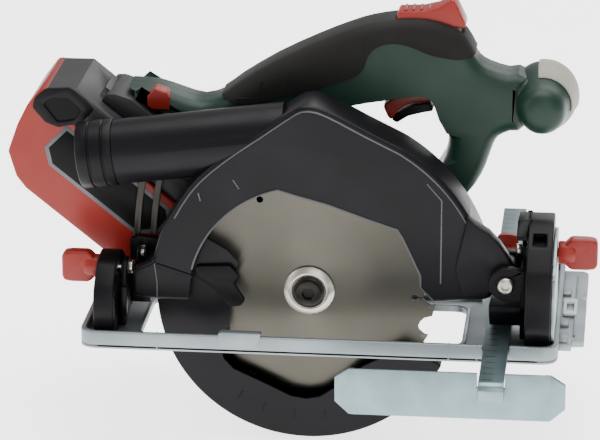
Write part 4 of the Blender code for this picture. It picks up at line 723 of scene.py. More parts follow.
def carry_over(node: str, finish: Finish, body: str, edge: float, segments: int = 2) -> Item:
    """Dress a CAD node's softened copy and let it stand for the node.

    Args:
        node: Name of the node.
        finish: Surface of the copy.
        body: CAD body that carries it.
        edge: Rounding of its sharp edges.
        segments: Steps across the rounding.

    Returns:
        The copy.
    """
    return dress(softened_copy(node, edge, segments), finish, body, [node])


@dataclass
class Studio:
    """Floor, soft lights and the camera."""

    floor_glow: float = 2.4  # keeps the sheet near white round the shadow
    sky_strength: float = 0.6
    softboxes: tuple[tuple[str, Spot, float, float, float], ...] = (  # name, place, height aimed at, size, watts
        ("top_softbox", (0.1, 0.15, 1.7), 0.05, 1.6, 42.0),
        ("front_softbox", (0.5, -1.9, 1.0), 0.05, 1.3, 13.0),
        ("left_softbox", (-1.7, -0.7, 0.8), 0.05, 1.1, 11.0),
        ("back_softbox", (0.5, 1.7, 1.1), 0.08, 1.2, 12.0),
    )
    turn: float = 6.0
    rise: float = 18.8
    lens: float = 204.0
    eye: Spot = (0.2109, -2.1267, 0.7798)

    def build(self) -> None:
        """Make the stage."""
        self.floor()
        self.world()
        for name, spot, aim, size, power in self.softboxes:
            self.lamp(name, spot, (0.0, 0.0, aim), size, power)
        self.camera()

    def floor(self) -> None:
        """A wide pale sheet a little below the guard's lowest point."""
        shape = bmesh.new()
        bmesh.ops.create_grid(shape, x_segments=2, y_segments=2, size=20.0)
        bmesh.ops.translate(shape, vec=(0, 0, FLOOR_UP * MM), verts=shape.verts)
        item = to_object(shape, "floor")
        material = PALE_FLOOR.material()
        shader = material.node_tree.nodes["Principled BSDF"]
        shader.inputs["Emission Color"].default_value = (1.0, 1.0, 1.0, 1.0)
        shader.inputs["Emission Strength"].default_value = self.floor_glow
        item.data.materials.append(material)

    def world(self) -> None:
        """Even white surroundings."""
        world = bpy.data.worlds.new("studio_surroundings")
        world.use_nodes = True
        background = world.node_tree.nodes["Background"]
        background.inputs["Color"].default_value = (1.0, 1.0, 1.0, 1.0)
        background.inputs["Strength"].default_value = self.sky_strength
        bpy.context.scene.world = world

    def lamp(self, name: str, spot: Spot, target: Spot, size: float, power: float) -> None:
        """A square soft light that faces a target."""
        data = bpy.data.lights.new(name, "AREA")
        data.size = size
        data.energy = power
        item = link(name, data)
        item.location = spot
        item.rotation_euler = (Vector(target) - Vector(spot)).to_track_quat("-Z", "Y").to_euler()

    def camera(self) -> None:
        """The camera, a long lens from a little above and in front of square."""
        data = bpy.data.cameras.new("camera")
        data.lens = self.lens
        data.sensor_width = 36.0
        data.clip_end = 100.0
        item = link("camera", data)
        item.location = self.eye
        turn, rise = math.radians(self.turn), math.radians(self.rise)
        back = Vector(
            (math.sin(turn) * math.cos(rise), -math.cos(turn) * math.cos(rise), math.sin(rise))
        )
        item.rotation_euler = (-back).to_track_quat("-Z", "Y").to_euler()
        bpy.context.scene.camera = item


@dataclass
class BasePlate:
    """The cast base plate with its quadrants, scale plate and sight insert."""

    rear: float = -143.0
    front: float = 163.0
    near: float = -54.0
    width: float = 180.0
    rim: float = 3.6
    rim_top: float = 11.5

    def build(self) -> None:
        """Make and dress the base."""
        self.plate()
        self.quadrants()

    def plate(self) -> None:
        """Panel, rim, nose, ribs, boss and the raised tab on the near rim."""
        far = self.near + self.width
        edge = rounded(rectangle((self.rear, self.near), (self.front, far)), 12.0, 8)
        inner_low = (self.rear + self.rim, self.near + self.rim)
        inner = rounded(rectangle(inner_low, (self.front - self.rim, far - self.rim)), 9.0, 8)
        opening = rounded([(-106, -36), (101, -36), (101, 36.5), (-106, 36.5)], 9.0, 6)
        panel = plate("base_panel", [edge, opening], 0.0, 3.0, Across.UP, 0.5)
        rim = plate("base_rim", [edge, inner], 0.3, self.rim_top, Across.UP)
        gate = (ARM_FORWARD - 8.3, ARM_FORWARD + 8.3)
        for low, high in ((-60.0, -45.0), (119.0, 130.0)):
            combine(rim, block("gate", (gate[0], low, 7.2), (gate[1], high, 20.0)))
        tidy(rim, 1.0, 3)
        pieces = [panel, rim]
        for side in (52.0, 82.0, 110.0):
            pieces.append(block("rib", (-128, side - 1.5, 2.0), (110, side + 1.5, 6.5), 0.6))
        lip = rounded([(-108.5, -38.5), (103.5, -38.5), (103.5, 39.0), (-108.5, 39.0)], 11.0, 6)
        pieces.append(plate("opening_lip", [lip, opening], 2.0, 5.0, Across.UP, 0.6))
        boss = block("guide_boss", (111, 98, 2.0), (137, 112, 19.0))
        combine(boss, block("boss_gate", (115.7, 95, 7.2), (132.3, 115, 10.3)))
        combine(boss, turned("boss_hole", [(0, 8), (3.3, 8), (3.3, 25), (0, 25)], (124, 105, 0), Across.UP, 24))
        pieces.append(tidy(boss, 0.8))
        tab = [(-53, 4.5), (-53, 13.2), (-51.5, 14.2), (-26.0, 14.2), (-25.5, 13.4), (-28, 4.5)]
        pieces.append(plate("rim_tab", [tab], self.near - 0.9, self.near + 5.0, Across.SIDE, 0.5))
        for x in (-92.5, 94.0, 112.0):
            low, high = (x - 0.35, self.near - 0.15, 0.8), (x + 0.35, self.near + 3, 11.8)
            pieces.append(block("rim_seam", low, high, 0.1))
        nose = [(158, -28), (171, -28), (171, -21), (179, -20), (179, 54), (173.5, 60), (179, 66), (179, 108)]
        nose += [(176, 112), (158, 112)]
        window = rounded([(166, 28), (171, 28), (171, 46), (166, 46)], 1.0, 2)
        pieces.append(plate("nose", [rounded(nose, 1.5, 3), window], 0.0, 5.0, Across.UP, 0.5))
        for low, high, top in ((-26.0, -16.0, 8.0), (2.0, 12.0, 7.0), (60.5, 71.0, 7.0)):
            pieces.append(block("nose_block", (162.5, low, 3.0), (168.5, high, top), 0.8))
        pieces.append(block("nose_rib", (171.5, -14.0, 4.0), (173.0, 100.0, 6.2), 0.4))
        dress(merged("base_plate_finished", *pieces), CAST_ALUMINIUM, "base", ["base_plate"])

    def quadrants(self) -> None:
        """Both black quadrants, the scale plate and the sight insert."""
        for node in ("front_quadrant", "rear_quadrant"):
            carry_over(node, BLACK_NYLON, "base", 1.2, 3)
        carry_over("scale_plate", ZINC_SCALE, "base", 0.12)
        carry_over("cut_indicator", PALE_NYLON, "base", 0.3)


@dataclass
class ParallelGuide:
    """The guide's arm, fence and clamp screw."""

    near: float = -116.8
    far: float = 226.0
    thick: float = 2.5
    up: float = 7.5
    half: float = 8.0

    def build(self) -> None:
        """Make and dress the guide."""
        low, top = self.up, self.up + self.thick
        bend = arc(self.near + 5.5, top - 5.5, 5.5, 90, 180, 8)
        inner = arc(self.near + 5.5, top - 5.5, 3.2, 180, 90, 8)
        foot = -2.0
        profile = [(self.far, low), (self.far, top), *bend, (self.near, foot), (self.near + 2.2, foot), *inner]
        profile = [(a, max(b, foot)) for a, b in profile]
        sides = ARM_FORWARD - self.half, ARM_FORWARD + self.half
        arm = plate("guide_arm_finished", [profile], *sides, Across.FORWARD, 0.35)
        dress(arm, ZINC_ARM, "parallel_guide", ["guide_arm"])
        self.fence()
        carry_over("guide_clamp_screw", RED_ABS, "guide_clamp", 0.5, 3)

    def fence(self) -> None:
        """The fence: a strip with clipped corners whose two ends are turned towards the blade."""
        notch = self.half + 0.6
        loop: Loop = [(36, 16), (27, 9), (27, -7), (36, -14), (161, -14), (170, -7), (170, 9), (161, 16)]
        loop += [(ARM_FORWARD + notch, 16.0), (ARM_FORWARD + notch, 6.9)]
        loop += [(ARM_FORWARD - notch, 6.9), (ARM_FORWARD - notch, 16.0)]
        item = plate("guide_fence_finished", [loop], -114.3, -111.8)

        def flare(shape: Shape) -> None:
            for x in (37.0, 38.5, 40.0, 157.0, 158.5, 160.0):
                geometry = shape.verts[:] + shape.edges[:] + shape.faces[:]
                bmesh.ops.bisect_plane(shape, geom=geometry, plane_co=(x * MM, 0, 0), plane_no=(1, 0, 0))
            for vert in shape.verts:
                beyond = max(38.0 * MM - vert.co.x, vert.co.x - 159.0 * MM, 0.0)
                vert.co.y += beyond * 0.32
            round_edges(shape, 0.4, 2)

        dress(reshape(item, flare), ZINC_SHEET, "parallel_guide", ["guide_fence"])


@dataclass
class TiltFrame:
    """The tilting brackets, the depth guide, their bolts and the red wing knobs."""

    def build(self) -> None:
        """Dress the frame from softened CAD shapes."""
        carry_over("front_hinge_block", BLACK_NYLON, "tilt_frame", 0.7, 2)
        carry_over("rear_tilt_bracket", BLACK_COAT, "tilt_frame", 0.6, 2)
        carry_over("depth_guide", BLACK_STEEL, "tilt_frame", 0.25)
        self.pivot_screw()
        for node in ("front_bevel_bolt", "rear_bevel_bolt"):
            carry_over(node, BRIGHT_STEEL, "tilt_frame", 0.05, 1)
        self.wing_knob("front", 160.7, 186.0, -1.5, 57.7)
        self.wing_knob("rear", -134.8, -160.5, -7.5, 39.9)

    def pivot_screw(self) -> None:
        """Button-head socket screw of the depth pivot, with a six-sided socket."""
        head = [(0.0, 47.0), (4.0, 47.0), (4.0, 0.0), (5.4, 0.0), (5.4, -2.0)]
        head += [(5.0, -2.9), (4.4, -3.5), (3.6, -3.9), (0.0, -3.9)]
        item = turned("depth_pivot_screw_finished", head, (PIVOT[0], -33.3, PIVOT[1]), Across.SIDE, 48)
        combine(item, plate("socket", [circle(PIVOT[0], PIVOT[1], 2.7, 6)], -38.5, -35.2))
        dress(tidy(item, 0.15, 1), BRIGHT_STEEL, "tilt_frame", ["depth_pivot_screw"])

    def wing_knob(self, end: str, root: float, tip: float, side: float, up: float) -> None:
        """A waisted wing with a round neck.

        Args:
            end: front or rear.
            root: Forward place of the neck's foot.
            tip: Forward place of the wing's end.
            side: Side of the bolt.
            up: Height of the bolt.
        """
        way = 1.0 if tip > root else -1.0
        wing: Loop = [(root + way * 3.5, 6.0), (root + way * 7, 9.5), (root + way * 9, 10.4)]
        wing += [(tip - way * 6, 10.4), (tip - way * 1.5, 9.6), (tip, 7.0)]
        loop = wing + [(a, -b) for a, b in reversed(wing)]
        loop = rounded([(a, b + up) for a, b in loop], 2.0, 4)
        piece = plate(f"{end}_wing", [loop], side - 5.0, side + 5.0, Across.SIDE, 1.9, 4)
        neck: Loop = [(0, root), (7.0, root), (7.5, root + way * 0.8), (7.5, root + way * 9)]
        neck += [(6.4, root + way * 11), (0, root + way * 11)]
        body = turned(f"{end}_neck", neck, (0, side, up), Across.FORWARD, 40)
        combine(piece, body, "UNION")
        first, last = root - way * 2, root + way * 14.5
        hole: Loop = [(0, first), (3.3, first), (3.3, last), (0, last)]
        combine(piece, turned(f"{end}_bore", hole, (0, side, up), Across.FORWARD, 24))
        piece.name = f"{end}_wing_knob_finished"
        dress(piece, RED_ABS, f"{end}_bevel_clamp", [f"{end}_wing_knob"])


def guard_line(shrink: float = 0.0) -> Loop:
    """Outline of the upper guard's arch from its front foot over the top to its rear, drawn inwards."""
    reach = 120.0 - shrink
    line = arc(0, SPINDLE_UP, reach, 3.5, 60, 26)
    crest = [(38.5, 140), (21, 149), (7, 155), (-3, 155.5), (-10, 151.5), (-16, 147.5), (-30, 137.5)]
    crest += [(-46.5, 126), (-64, 112), (-77, 98), (-88, 80), (-95, 66.5), (-99.5, 48.5)]
    for x, z in crest:
        away = math.hypot(x, z - SPINDLE_UP)
        scale = (away - shrink) / away
        line.append((x * scale, SPINDLE_UP + (z - SPINDLE_UP) * scale))
    return line


def centred(name: str, loop: Loop, half: float, edge: float = 0.0, segments: int = 2) -> Item:
    """A plate about the handle's mid-plane, half as thick to each side."""
    return plate(name, [loop], HANDLE_SIDE - half, HANDLE_SIDE + half, Across.SIDE, edge, segments)


def curve_through(points: Loop, per: int = 4) -> Loop:
    """A smooth open line that passes through each of the points.

    Args:
        points: At least four points.
        per: New points from one given point to the next.

    Returns:
        The finer line.
    """
    made: Loop = []
    for i in range(len(points) - 1):
        p0 = Vector(points[max(i - 1, 0)])
        p1, p2 = Vector(points[i]), Vector(points[i + 1])
        p3 = Vector(points[min(i + 2, len(points) - 1)])
        for k in range(per):
            t = k / per
            spot = 0.5 * (
                2 * p1 + (p2 - p0) * t + (2 * p0 - 5 * p1 + 4 * p2 - p3) * t**2
                + (3 * p1 - p0 - 3 * p2 + p3) * t**3
            )
            made.append((spot.x, spot.y))
    made.append(points[-1])
    return made


@dataclass
class UpperGuard:
    """The fixed guard, its chute and the dust nozzle."""

    near: float = -20.0
    far: float = 17.0
    chute_side: float = 1.5
    chute_radius: float = 21.0
    chute_start: Pair = (-14.0, 129.6)
    chute_end: Pair = (-148.5, 111.9)
    window: Loop = field(default_factory=list)

    def build(self) -> None:
        """Make and dress the guard."""
        self.window = self.window_loop()
        self.shell()
        self.trim()
        self.nozzle()
        for index in (1, 2, 3):
            node = f"guard_screw_{index}"
            carry_over(node, BRIGHT_STEEL, "saw_unit", 0.15)

    def window_loop(self) -> Loop:
        """Outline of the opening in the near wall, down to the guard's foot."""
        line = arc(0, SPINDLE_UP, 76.5, 166, 104, 18)
        line += [(-8, 96.5), (13, 91), (40, 81.5), (58.5, 75.5), (61.5, 71), (73.5, 45), (73.5, 37)]
        line += [(82, 28.5), (84, 10), (-78, 10)]
        return line

    def tube_piece(self, name: str, profile: Loop, ring: bool = False) -> Item:
        """A turned shape about the chute's centre line; heights start at its front end."""
        item = turned(name, profile, (0, -BLADE_PLANE, 0), Across.UP, 72, ring)
        start = Vector((self.chute_start[0], self.chute_side + BLADE_PLANE, self.chute_start[1])) * MM
        end = Vector((self.chute_end[0], self.chute_side + BLADE_PLANE, self.chute_end[1])) * MM
        turn = (end - start).to_track_quat("Z", "Y").to_matrix().to_4x4()
        item.data.transform(Matrix.Translation(start) @ turn)
        return item

    def length(self) -> float:
        """Length of the chute's centre line."""
        return math.dist(self.chute_start, self.chute_end)

    def shell(self) -> None:
        """Arch, chute, front arm, pivot tube and rear lug, hollowed and cut."""
        outer = curve_through(guard_line(), 2)
        outer += [(-112.5, 43), (-113.5, 38), (-113.5, 24), (-98, 22), (-74, 22), (60, 26), (88, 27), (117, 30)]
        guard = plate("upper_guard_finished", [outer], self.near, self.far, Across.SIDE, 3.2, 4)
        length = self.length()
        tube_line: Loop = [(0, 0), (self.chute_radius + 0.6, 0), (self.chute_radius, length - 24)]
        tube_line += [(19.3, length - 24), (19.3, length - 4), (0, length - 4)]
        combine(guard, self.tube_piece("chute", tube_line), "UNION")
        arm: Loop = [(96, 52), (103, 86), (108, 81.5), (117, 76), (124, 68.5), (129, 61), (132.4, 53)]
        arm += arc(PIVOT[0], PIVOT[1], 8.4, 20, -120, 12) + [(112, 35), (100, 33)]
        combine(guard, plate("arm", [arm], -24.4, -12.0, Across.SIDE, 1.2, 2), "UNION")
        hub: Loop = [(0, -20), (7, -20), (7, 7.6), (0, 7.6)]
        combine(guard, turned("pivot_tube", hub, (PIVOT[0], 0, PIVOT[1]), Across.SIDE, 40), "UNION")
        lug = [(-119, 38), (-119, 52), (-112, 54), (-96, 52), (-96, 38)]
        combine(guard, plate("lug", [lug], 12.0, 17.2), "UNION")
        inner = curve_through(guard_line(3.0), 2)
        inner += [(-102.0, 40), (-101.5, 30), (-96, 10), (100, 10), (115, 24)]
        combine(guard, plate("hollow", [inner], -17.5, 14.5))
        tail = [(-125, 5), (-125, 37.5), (-105, 37.5), (-105, 5)]
        combine(guard, plate("tail_cut", [tail], -13.5, 30.0))
        tail = [(-125, 30), (-125, 60), (-104.6, 60), (-104.6, 30)]
        combine(guard, plate("lever_cut", [tail], -13.5, 11.8))
        bore: Loop = [(0, 4), (18, 4), (17, length + 10), (0, length + 10)]
        combine(guard, self.tube_piece("chute_bore", bore))
        combine(guard, plate("window", [self.window], -30.0, -16.0))
        combine(guard, plate("hub_hole", [circle(0, SPINDLE_UP, 19.0, 48)], 10.0, 20.0))
        pin: Loop = [(0, -40), (4.3, -40), (4.3, 30), (0, 30)]
        combine(guard, turned("pivot_bore", pin, (PIVOT[0], 0, PIVOT[1]), Across.SIDE, 32))
        dress(tidy(guard, 0.0), BLACK_COAT, "saw_unit", ["upper_guard"], crisp=30.0)

    def bead(self, name: str, line: Loop, side: float, radius: float) -> Item:
        """A thin raised line on the guard's near wall."""
        path = [place(a, b, side, Across.SIDE) for a, b in line]
        return tube(name, path, radius)

    def trim(self) -> None:
        """Raised rim round the window and the shallow ribs of the near wall."""
        rim = self.window[:-2]
        # The window rim, the arch line and the wall ribs take the lighter coat: painted highlight lines on the
        # guard's near wall.
        dress(self.bead("window_rim", rim, -20.1, 0.8), HIGHLIGHT_LINE_COAT, "saw_unit")
        outer = curve_through(guard_line(3.4), 2)[6:-4]
        dress(self.bead("arch_line", outer, -19.9, 0.6), HIGHLIGHT_LINE_COAT, "saw_unit")
        lines = [
            [(77.0, 107.0), (86.5, 96.0), (86.5, 40.0)],
            [(-47.0, 105.5), (-43.0, 99.5)],
            [(-69.5, 96.0), (-68.0, 90.5)],
            [(-98.5, 47.0), (-97.0, 34.0), (-97.0, 24.0)],
        ]
        # The ribs' lighter coat is a painted highlight line along each.
        for index, line in enumerate(lines):
            dress(self.bead(f"wall_rib_{index + 1}", line, -20.0, 0.6), HIGHLIGHT_LINE_COAT, "saw_unit")
        ledge: Loop = [(-97, 47.5), (-75, 40.5), (-73, 37.5), (-97, 44.5)]
        dress(plate("rear_ledge", [ledge], -21.0, -19.0, Across.SIDE, 0.5), BLACK_COAT, "saw_unit")

    def nozzle(self) -> None:
        """The ringed sleeve on the chute's end."""
        length = self.length()
        out = self.chute_radius + 0.8
        low = length - 23.6
        line: Loop = [(19.6, low), (out - 0.4, low), (out, low + 0.6)]
        groove = out - 0.75
        for middle in (length - 17.4, length - 8.4):
            line += [(out, middle - 1.0), (groove, middle - 0.4), (groove, middle + 0.4), (out, middle + 1.0)]
        line += [(out, length - 1), (out - 0.5, length - 0.3), (out - 1.2, length), (19.6, length)]
        dress(self.tube_piece("dust_nozzle_finished", line, True), BLACK_NYLON, "saw_unit", ["dust_nozzle"])


@dataclass
class LowerGuard:
    """The swinging guard with its lever and spring."""

    radius: float = 98.0
    half: float = 12.5
    wall: float = 2.0

    def build(self) -> None:
        """Make and dress the guard."""
        outer = arc(0, SPINDLE_UP, self.radius, 150, 333, 92) + [(0, SPINDLE_UP)]
        guard = plate("lower_guard_finished", [outer], -self.half, self.half, Across.SIDE, 1.0, 3)
        disc: Loop = [(0, 10.5), (24, 10.5), (24, 12.5), (0, 12.5)]
        combine(guard, turned("hub", disc, (0, 0, SPINDLE_UP), Across.SIDE, 48), "UNION")
        inside = self.half - self.wall
        hollow = arc(0, SPINDLE_UP, self.radius - 2.4, 140, 343, 92) + [(8, 60)]
        combine(guard, plate("hollow", [hollow], -inside, inside))
        window: Loop = [(-60, 64), (-45, 47), (-50, 22), (-51, 2), (-57, -14), (-55, -20), (-48.5, -27)]
        window += [(-26.5, -37), (-11, -44.5), (-1, -46), (8.5, -44), (20, -36), (36, -22), (62, -8)]
        window += [(92, -2), (60, 60), (0, 90)]
        combine(guard, plate("window", [window], -30.0, -4.0))
        combine(guard, plate("hub_hole", [circle(0, SPINDLE_UP, 17.0, 48)], 5.0, 30.0))
        dress(tidy(guard, 0.0), BLACK_COAT, "lower_guard_group", ["lower_guard"], crisp=30.0)
        self.rim_marks()
        self.lever()
        carry_over("guard_spring", BRIGHT_STEEL, "lower_guard_group", 0.0)

    def rim_marks(self) -> None:
        """Short raised marks on the near wall and a bead along its window."""
        for index, angle in enumerate((-122, -110, -96, -82)):
            turn = math.radians(angle)
            way = Vector((math.cos(turn), math.sin(turn)))
            ends = way * 80.0, way * 86.0
            path = [place(end.x, end.y + SPINDLE_UP, -12.5, Across.SIDE) for end in ends]
            dress(tube(f"guard_mark_{index + 1}", path, 0.5), BLACK_COAT, "lower_guard_group")
        edge: Loop = [(-51, 2), (-57, -14), (-55, -20), (-48.5, -27), (-26.5, -37), (-11, -44.5), (-1, -46)]
        edge += [(8.5, -44), (20, -36), (36, -22), (62, -8)]
        path = [place(a, b, -12.4, Across.SIDE) for a, b in edge]
        dress(tube("guard_window_bead", path, 0.7), BLACK_COAT, "lower_guard_group")

    def lever(self) -> None:
        """The faceted thumb lever."""
        loop: Loop = [(-72, 45), (-50, 46), (-43.5, 39), (-47.5, 34), (-40, 22.5), (-43, 18.5), (-50, 17.5)]
        loop += [(-57, 24.5), (-61, 30), (-73.5, 38)]
        item = plate("guard_lever_finished", [rounded(loop, 1.2, 2)], -16.8, -12.8, Across.SIDE, 0.9, 2)
        dress(item, BLACK_NYLON, "lower_guard_group", ["guard_lever"])


@dataclass
class BladeGroup:
    """Blade with carbide tips, flanges, bolt and the drive behind them."""

    radius: float = 82.5
    teeth: int = 24
    half: float = 0.8

    def build(self) -> None:
        """Make and dress the turning pieces."""
        self.blade()
        self.flanges()
        for node, finish in (("spindle", BRIGHT_STEEL), ("spindle_gear", BRIGHT_STEEL)):
            carry_over(node, finish, "spindle_group", 0.15, 1)
        for node, finish in (("rotor", WINDINGS), ("fan", BLACK_NYLON), ("pinion", BRIGHT_STEEL)):
            carry_over(node, finish, "rotor_group", 0.1, 1)

    def polar(self, radius: float, angle: float) -> Pair:
        """A point from its distance and direction from the spindle."""
        return (radius * math.cos(angle), SPINDLE_UP + radius * math.sin(angle))

    def expansion_slot(self, angle: float, root: float) -> Loop:
        """In along one side of the slot, round its end hole, and out along the other."""
        half, hole = 0.55, 2.1
        centre = Vector(self.polar(68.8, angle))
        way = Vector((math.cos(angle), math.sin(angle)))
        across = Vector((-way.y, way.x))
        mouth = Vector((0.0, SPINDLE_UP)) + way * root
        turn = math.degrees(angle)
        gap = math.degrees(math.asin(half / hole))
        made: Loop = [tuple(mouth - across * half)]
        made += arc(centre.x, centre.y, hole, turn - gap, turn - 360 + gap, 20)
        made.append(tuple(mouth + across * half))
        return made

    def blade(self) -> None:
        """The toothed disc and its tips."""
        step = math.tau / self.teeth
        root = self.radius - 8.0
        start = math.radians(-2.2)
        loop: Loop = []
        tips = []
        for index in range(self.teeth):
            base = start + step * index
            if index % (self.teeth // 3) == 0:
                loop += self.expansion_slot(base, root)
            else:
                loop += [self.polar(root + 0.8, base - step * 0.07), self.polar(root, base)]
            loop.append(self.polar(root + 0.4, base + step * 0.16))
            loop.append(self.polar(root + 2.2, base + step * 0.32))
            loop.append(self.polar(self.radius - 0.9, base + step * 0.44))
            loop.append(self.polar(self.radius - 0.2, base + step * 0.78))
            loop.append(self.polar(self.radius - 3.2, base + step * 0.82))
            loop.append(self.polar(root + 1.6, base + step * 0.89))
            tips.append(self.tip(index, base + step * 0.80))
        bore = circle(0, SPINDLE_UP, 10.0, 48)
        item = plate("blade_finished", [loop, bore], -self.half, self.half, Across.SIDE, 0.12, 1)
        dress(item, BLADE_STEEL, "spindle_group", ["blade"], crisp=25.0)
        dress(merged("blade_tips", *tips), CARBIDE, "spindle_group")

    def tip(self, index: int, angle: float) -> Item:
        """One carbide tip, a little wider than the blade."""
        back = angle - 0.030
        loop = [
            self.polar(self.radius - 4.4, angle - 0.004), self.polar(self.radius - 0.05, angle + 0.004),
            self.polar(self.radius - 0.3, back), self.polar(self.radius - 4.2, back - 0.004),
        ]
        return plate(f"tip_{index}", [loop], -1.1, 1.1)

    def flanges(self) -> None:
        """Both flanges and the socket bolt."""
        inner: Loop = [(5.1, 5.8), (12, 5.8), (16.5, 4), (16.5, 0.9), (9.9, 0.9), (9.9, -0.8), (5.1, -0.8)]
        item = turned("inner_flange_finished", inner, (0, 0, SPINDLE_UP), ring=True)
        dress(item, BRIGHT_STEEL, "spindle_group", ["inner_flange"])
        outer: Loop = [(5.1, -0.9), (16.2, -0.9), (16.5, -1.2), (16.5, -2.5), (16.1, -2.9), (13.2, -4.2)]
        outer += [(12.8, -4.4), (11.2, -4.4), (10.8, -4.2), (10.5, -3.8), (5.1, -3.8)]
        item = turned("outer_flange_finished", outer, (0, 0, SPINDLE_UP), ring=True)
        dress(item, BRIGHT_STEEL, "spindle_group", ["outer_flange"])
        head: Loop = [(0, 10), (3, 10), (3, -3.9), (10.1, -3.9), (10.3, -4.2), (10.3, -4.9), (8.9, -5.4)]
        head += [(8.6, -5.6), (8.6, -8.4), (8.0, -9.0), (0, -9.0)]
        bolt = turned("blade_bolt_finished", head, (0, 0, SPINDLE_UP), Across.SIDE, 64)
        combine(bolt, plate("socket", [circle(0, SPINDLE_UP, 4.3, 6)], -12.0, -6.0))
        dress(tidy(bolt, 0.15, 1), BLACK_STEEL, "spindle_group", ["blade_bolt"])


@dataclass
class Handle:
    """Both handle shells, the rubber grip, the front barrel, the controls and the screws."""

    width: float = 38.0
    knob: Pair = (147.0, 141.0)

    def build(self) -> None:
        """Make and dress the handle."""
        self.shells()
        self.barrel()
        self.controls()

    def outline(self) -> Loop:
        """Side view of the handle frame."""
        back: Loop = [(-77, 104.3), (-121.5, 140.5), (-119.5, 144.8), (-104, 143.4), (-90, 139), (-76, 135.5)]
        back += [(-62, 140), (-50, 149), (-27, 163.5), (-1, 176.5), (20, 185.5), (35, 190.5), (52, 193.5)]
        back += [(70, 194), (86, 190), (95, 184), (101, 174), (105, 167.5), (112, 163), (124, 159.5), (136, 158)]
        front: Loop = [(136, 126), (126, 122), (119, 118.5), (115.5, 113), (112.5, 104), (108, 92), (98, 77)]
        front += [(84, 70), (66, 67.5), (40, 66)]
        saddle = arc(-11.9, 45.1, 33.2, 42, 116, 12)
        return back + front + saddle + [(-44, 82), (-60, 83), (-70, 92)]

    def opening(self) -> Loop:
        """The finger opening."""
        loop: Loop = [(82, 98), (86, 112), (85, 121), (80, 130), (77, 139), (72, 145), (58, 144.5), (45, 142)]
        loop += [(33, 140), (20, 137), (5, 132.5), (-12, 126), (-30, 117.5), (-42, 109), (-45, 101)]
        loop += [(-36, 94), (-12, 90.5), (12, 88.5), (36, 81), (60, 79.5), (74, 86)]
        return loop

    def shells(self) -> None:
        """A rounded frame, split along its mid-plane into a near and a far shell."""
        low, high = HANDLE_SIDE - self.width / 2, HANDLE_SIDE + self.width / 2
        outline = curve_through(self.outline() + self.outline()[:1], 2)[:-1]
        opening = curve_through(self.opening() + self.opening()[:1], 2)[:-1]
        whole = plate("handle_frame", [outline, opening], low, high)
        rims = {(round(a, 3), round(b, 3)) for a, b in opening}

        def around_opening(edge: Edge) -> bool:
            spots = [(round(v.co.x / MM, 3), round(v.co.z / MM, 3)) for v in edge.verts]
            return all(spot in rims for spot in spots)

        def change(shape: Shape) -> None:
            inner = {e for e in shape.edges if around_opening(e)}
            round_edges(shape, 9.0, 5, 60.0, lambda e: e not in inner and e.calc_face_angle(0) < 1.7)

        reshape(whole, change)
        self.grip(whole)
        for name, keep, way in (("near", 1, -1.0), ("far", -1, 1.0)):
            half = link(f"handle_{name}_finished", whole.data.copy())

            def split(shape: Shape, keep: int = keep, way: float = way) -> None:
                middle = Vector((0, (HANDLE_SIDE + BLADE_PLANE + way * 0.15) * MM, 0))
                cut = bmesh.ops.bisect_plane(
                    shape, geom=shape.verts[:] + shape.edges[:] + shape.faces[:],
                    plane_co=middle, plane_no=(0, 1, 0), clear_outer=keep > 0, clear_inner=keep < 0,
                )
                edges = [g for g in cut["geom_cut"] if isinstance(g, bmesh.types.BMEdge)]
                bmesh.ops.triangle_fill(shape, use_beauty=True, use_dissolve=False, edges=edges)
                face_outwards(shape)

            reshape(half, split)
            dress(half, GREEN_NYLON, "saw_unit", [f"handle_{name}"], crisp=30.0)
        bpy.data.objects.remove(whole, do_unlink=True)
        for index in (1, 2, 3):
            node = f"housing_screw_{index}"
            carry_over(node, BLACK_STEEL, "saw_unit", 0.12, 1)

    def grip(self, frame_piece: Item) -> None:
        """The rubber grip: the frame's own surface grown outwards, within the rubber's outline.

        Args:
            frame_piece: The rounded handle frame before it is split.
        """
        loop: Loop = [(-64, 141), (-66, 160), (-20, 190), (30, 215), (110, 215), (112, 180), (103.5, 173.5)]
        loop += [(98, 171.5), (91, 171), (82, 172), (73, 174), (64, 177.8), (56, 180.3), (48, 180.8), (41, 179)]
        loop += [(36, 175.5), (33, 170.5), (31, 163.5), (27.5, 158.8), (20, 155.2), (6, 150.5), (-12, 145.2)]
        loop += [(-30, 140.0), (-44, 137.0), (-54, 137.0)]
        item = link("soft_grip_finished", frame_piece.data.copy())

        def grow(shape: Shape) -> None:
            bmesh.ops.recalc_face_normals(shape, faces=shape.faces)
            shape.normal_update()
            for vert, way in [(v, v.normal.copy()) for v in shape.verts]:
                vert.co += way * 1.6 * MM

        reshape(item, grow)
        wide = self.width / 2 + 1.6
        prism = centred("grip_prism", rounded(loop, 3.0, 4), 40.0)
        combine(item, prism, "INTERSECT")
        slot = block("thumb_slot", (50.6, HANDLE_SIDE - 10.4, 186), (97.0, HANDLE_SIDE + 10.4, 215))
        combine(item, slot)
        tidy(item, 0.5, 2, 50.0)
        dress(item, SOFT_RUBBER, "saw_unit", ["soft_grip"], crisp=30.0)
        near = HANDLE_SIDE - wide - 0.1
        ribs = [[(-38, 143), (-36, 153)], [(-22, 147.5), (-19, 153), (-17, 161)], [(0, 153.5), (2, 169)]]
        ribs += [[(30, 170), (31, 184)], [(-52, 141), (-40, 141.5)]]
        for index, rib in enumerate(ribs):
            path = [place(a, b, near + 0.35, Across.SIDE) for a, b in rib]
            dress(tube(f"grip_rib_{index + 1}", path, 0.55), SOFT_RUBBER, "saw_unit")

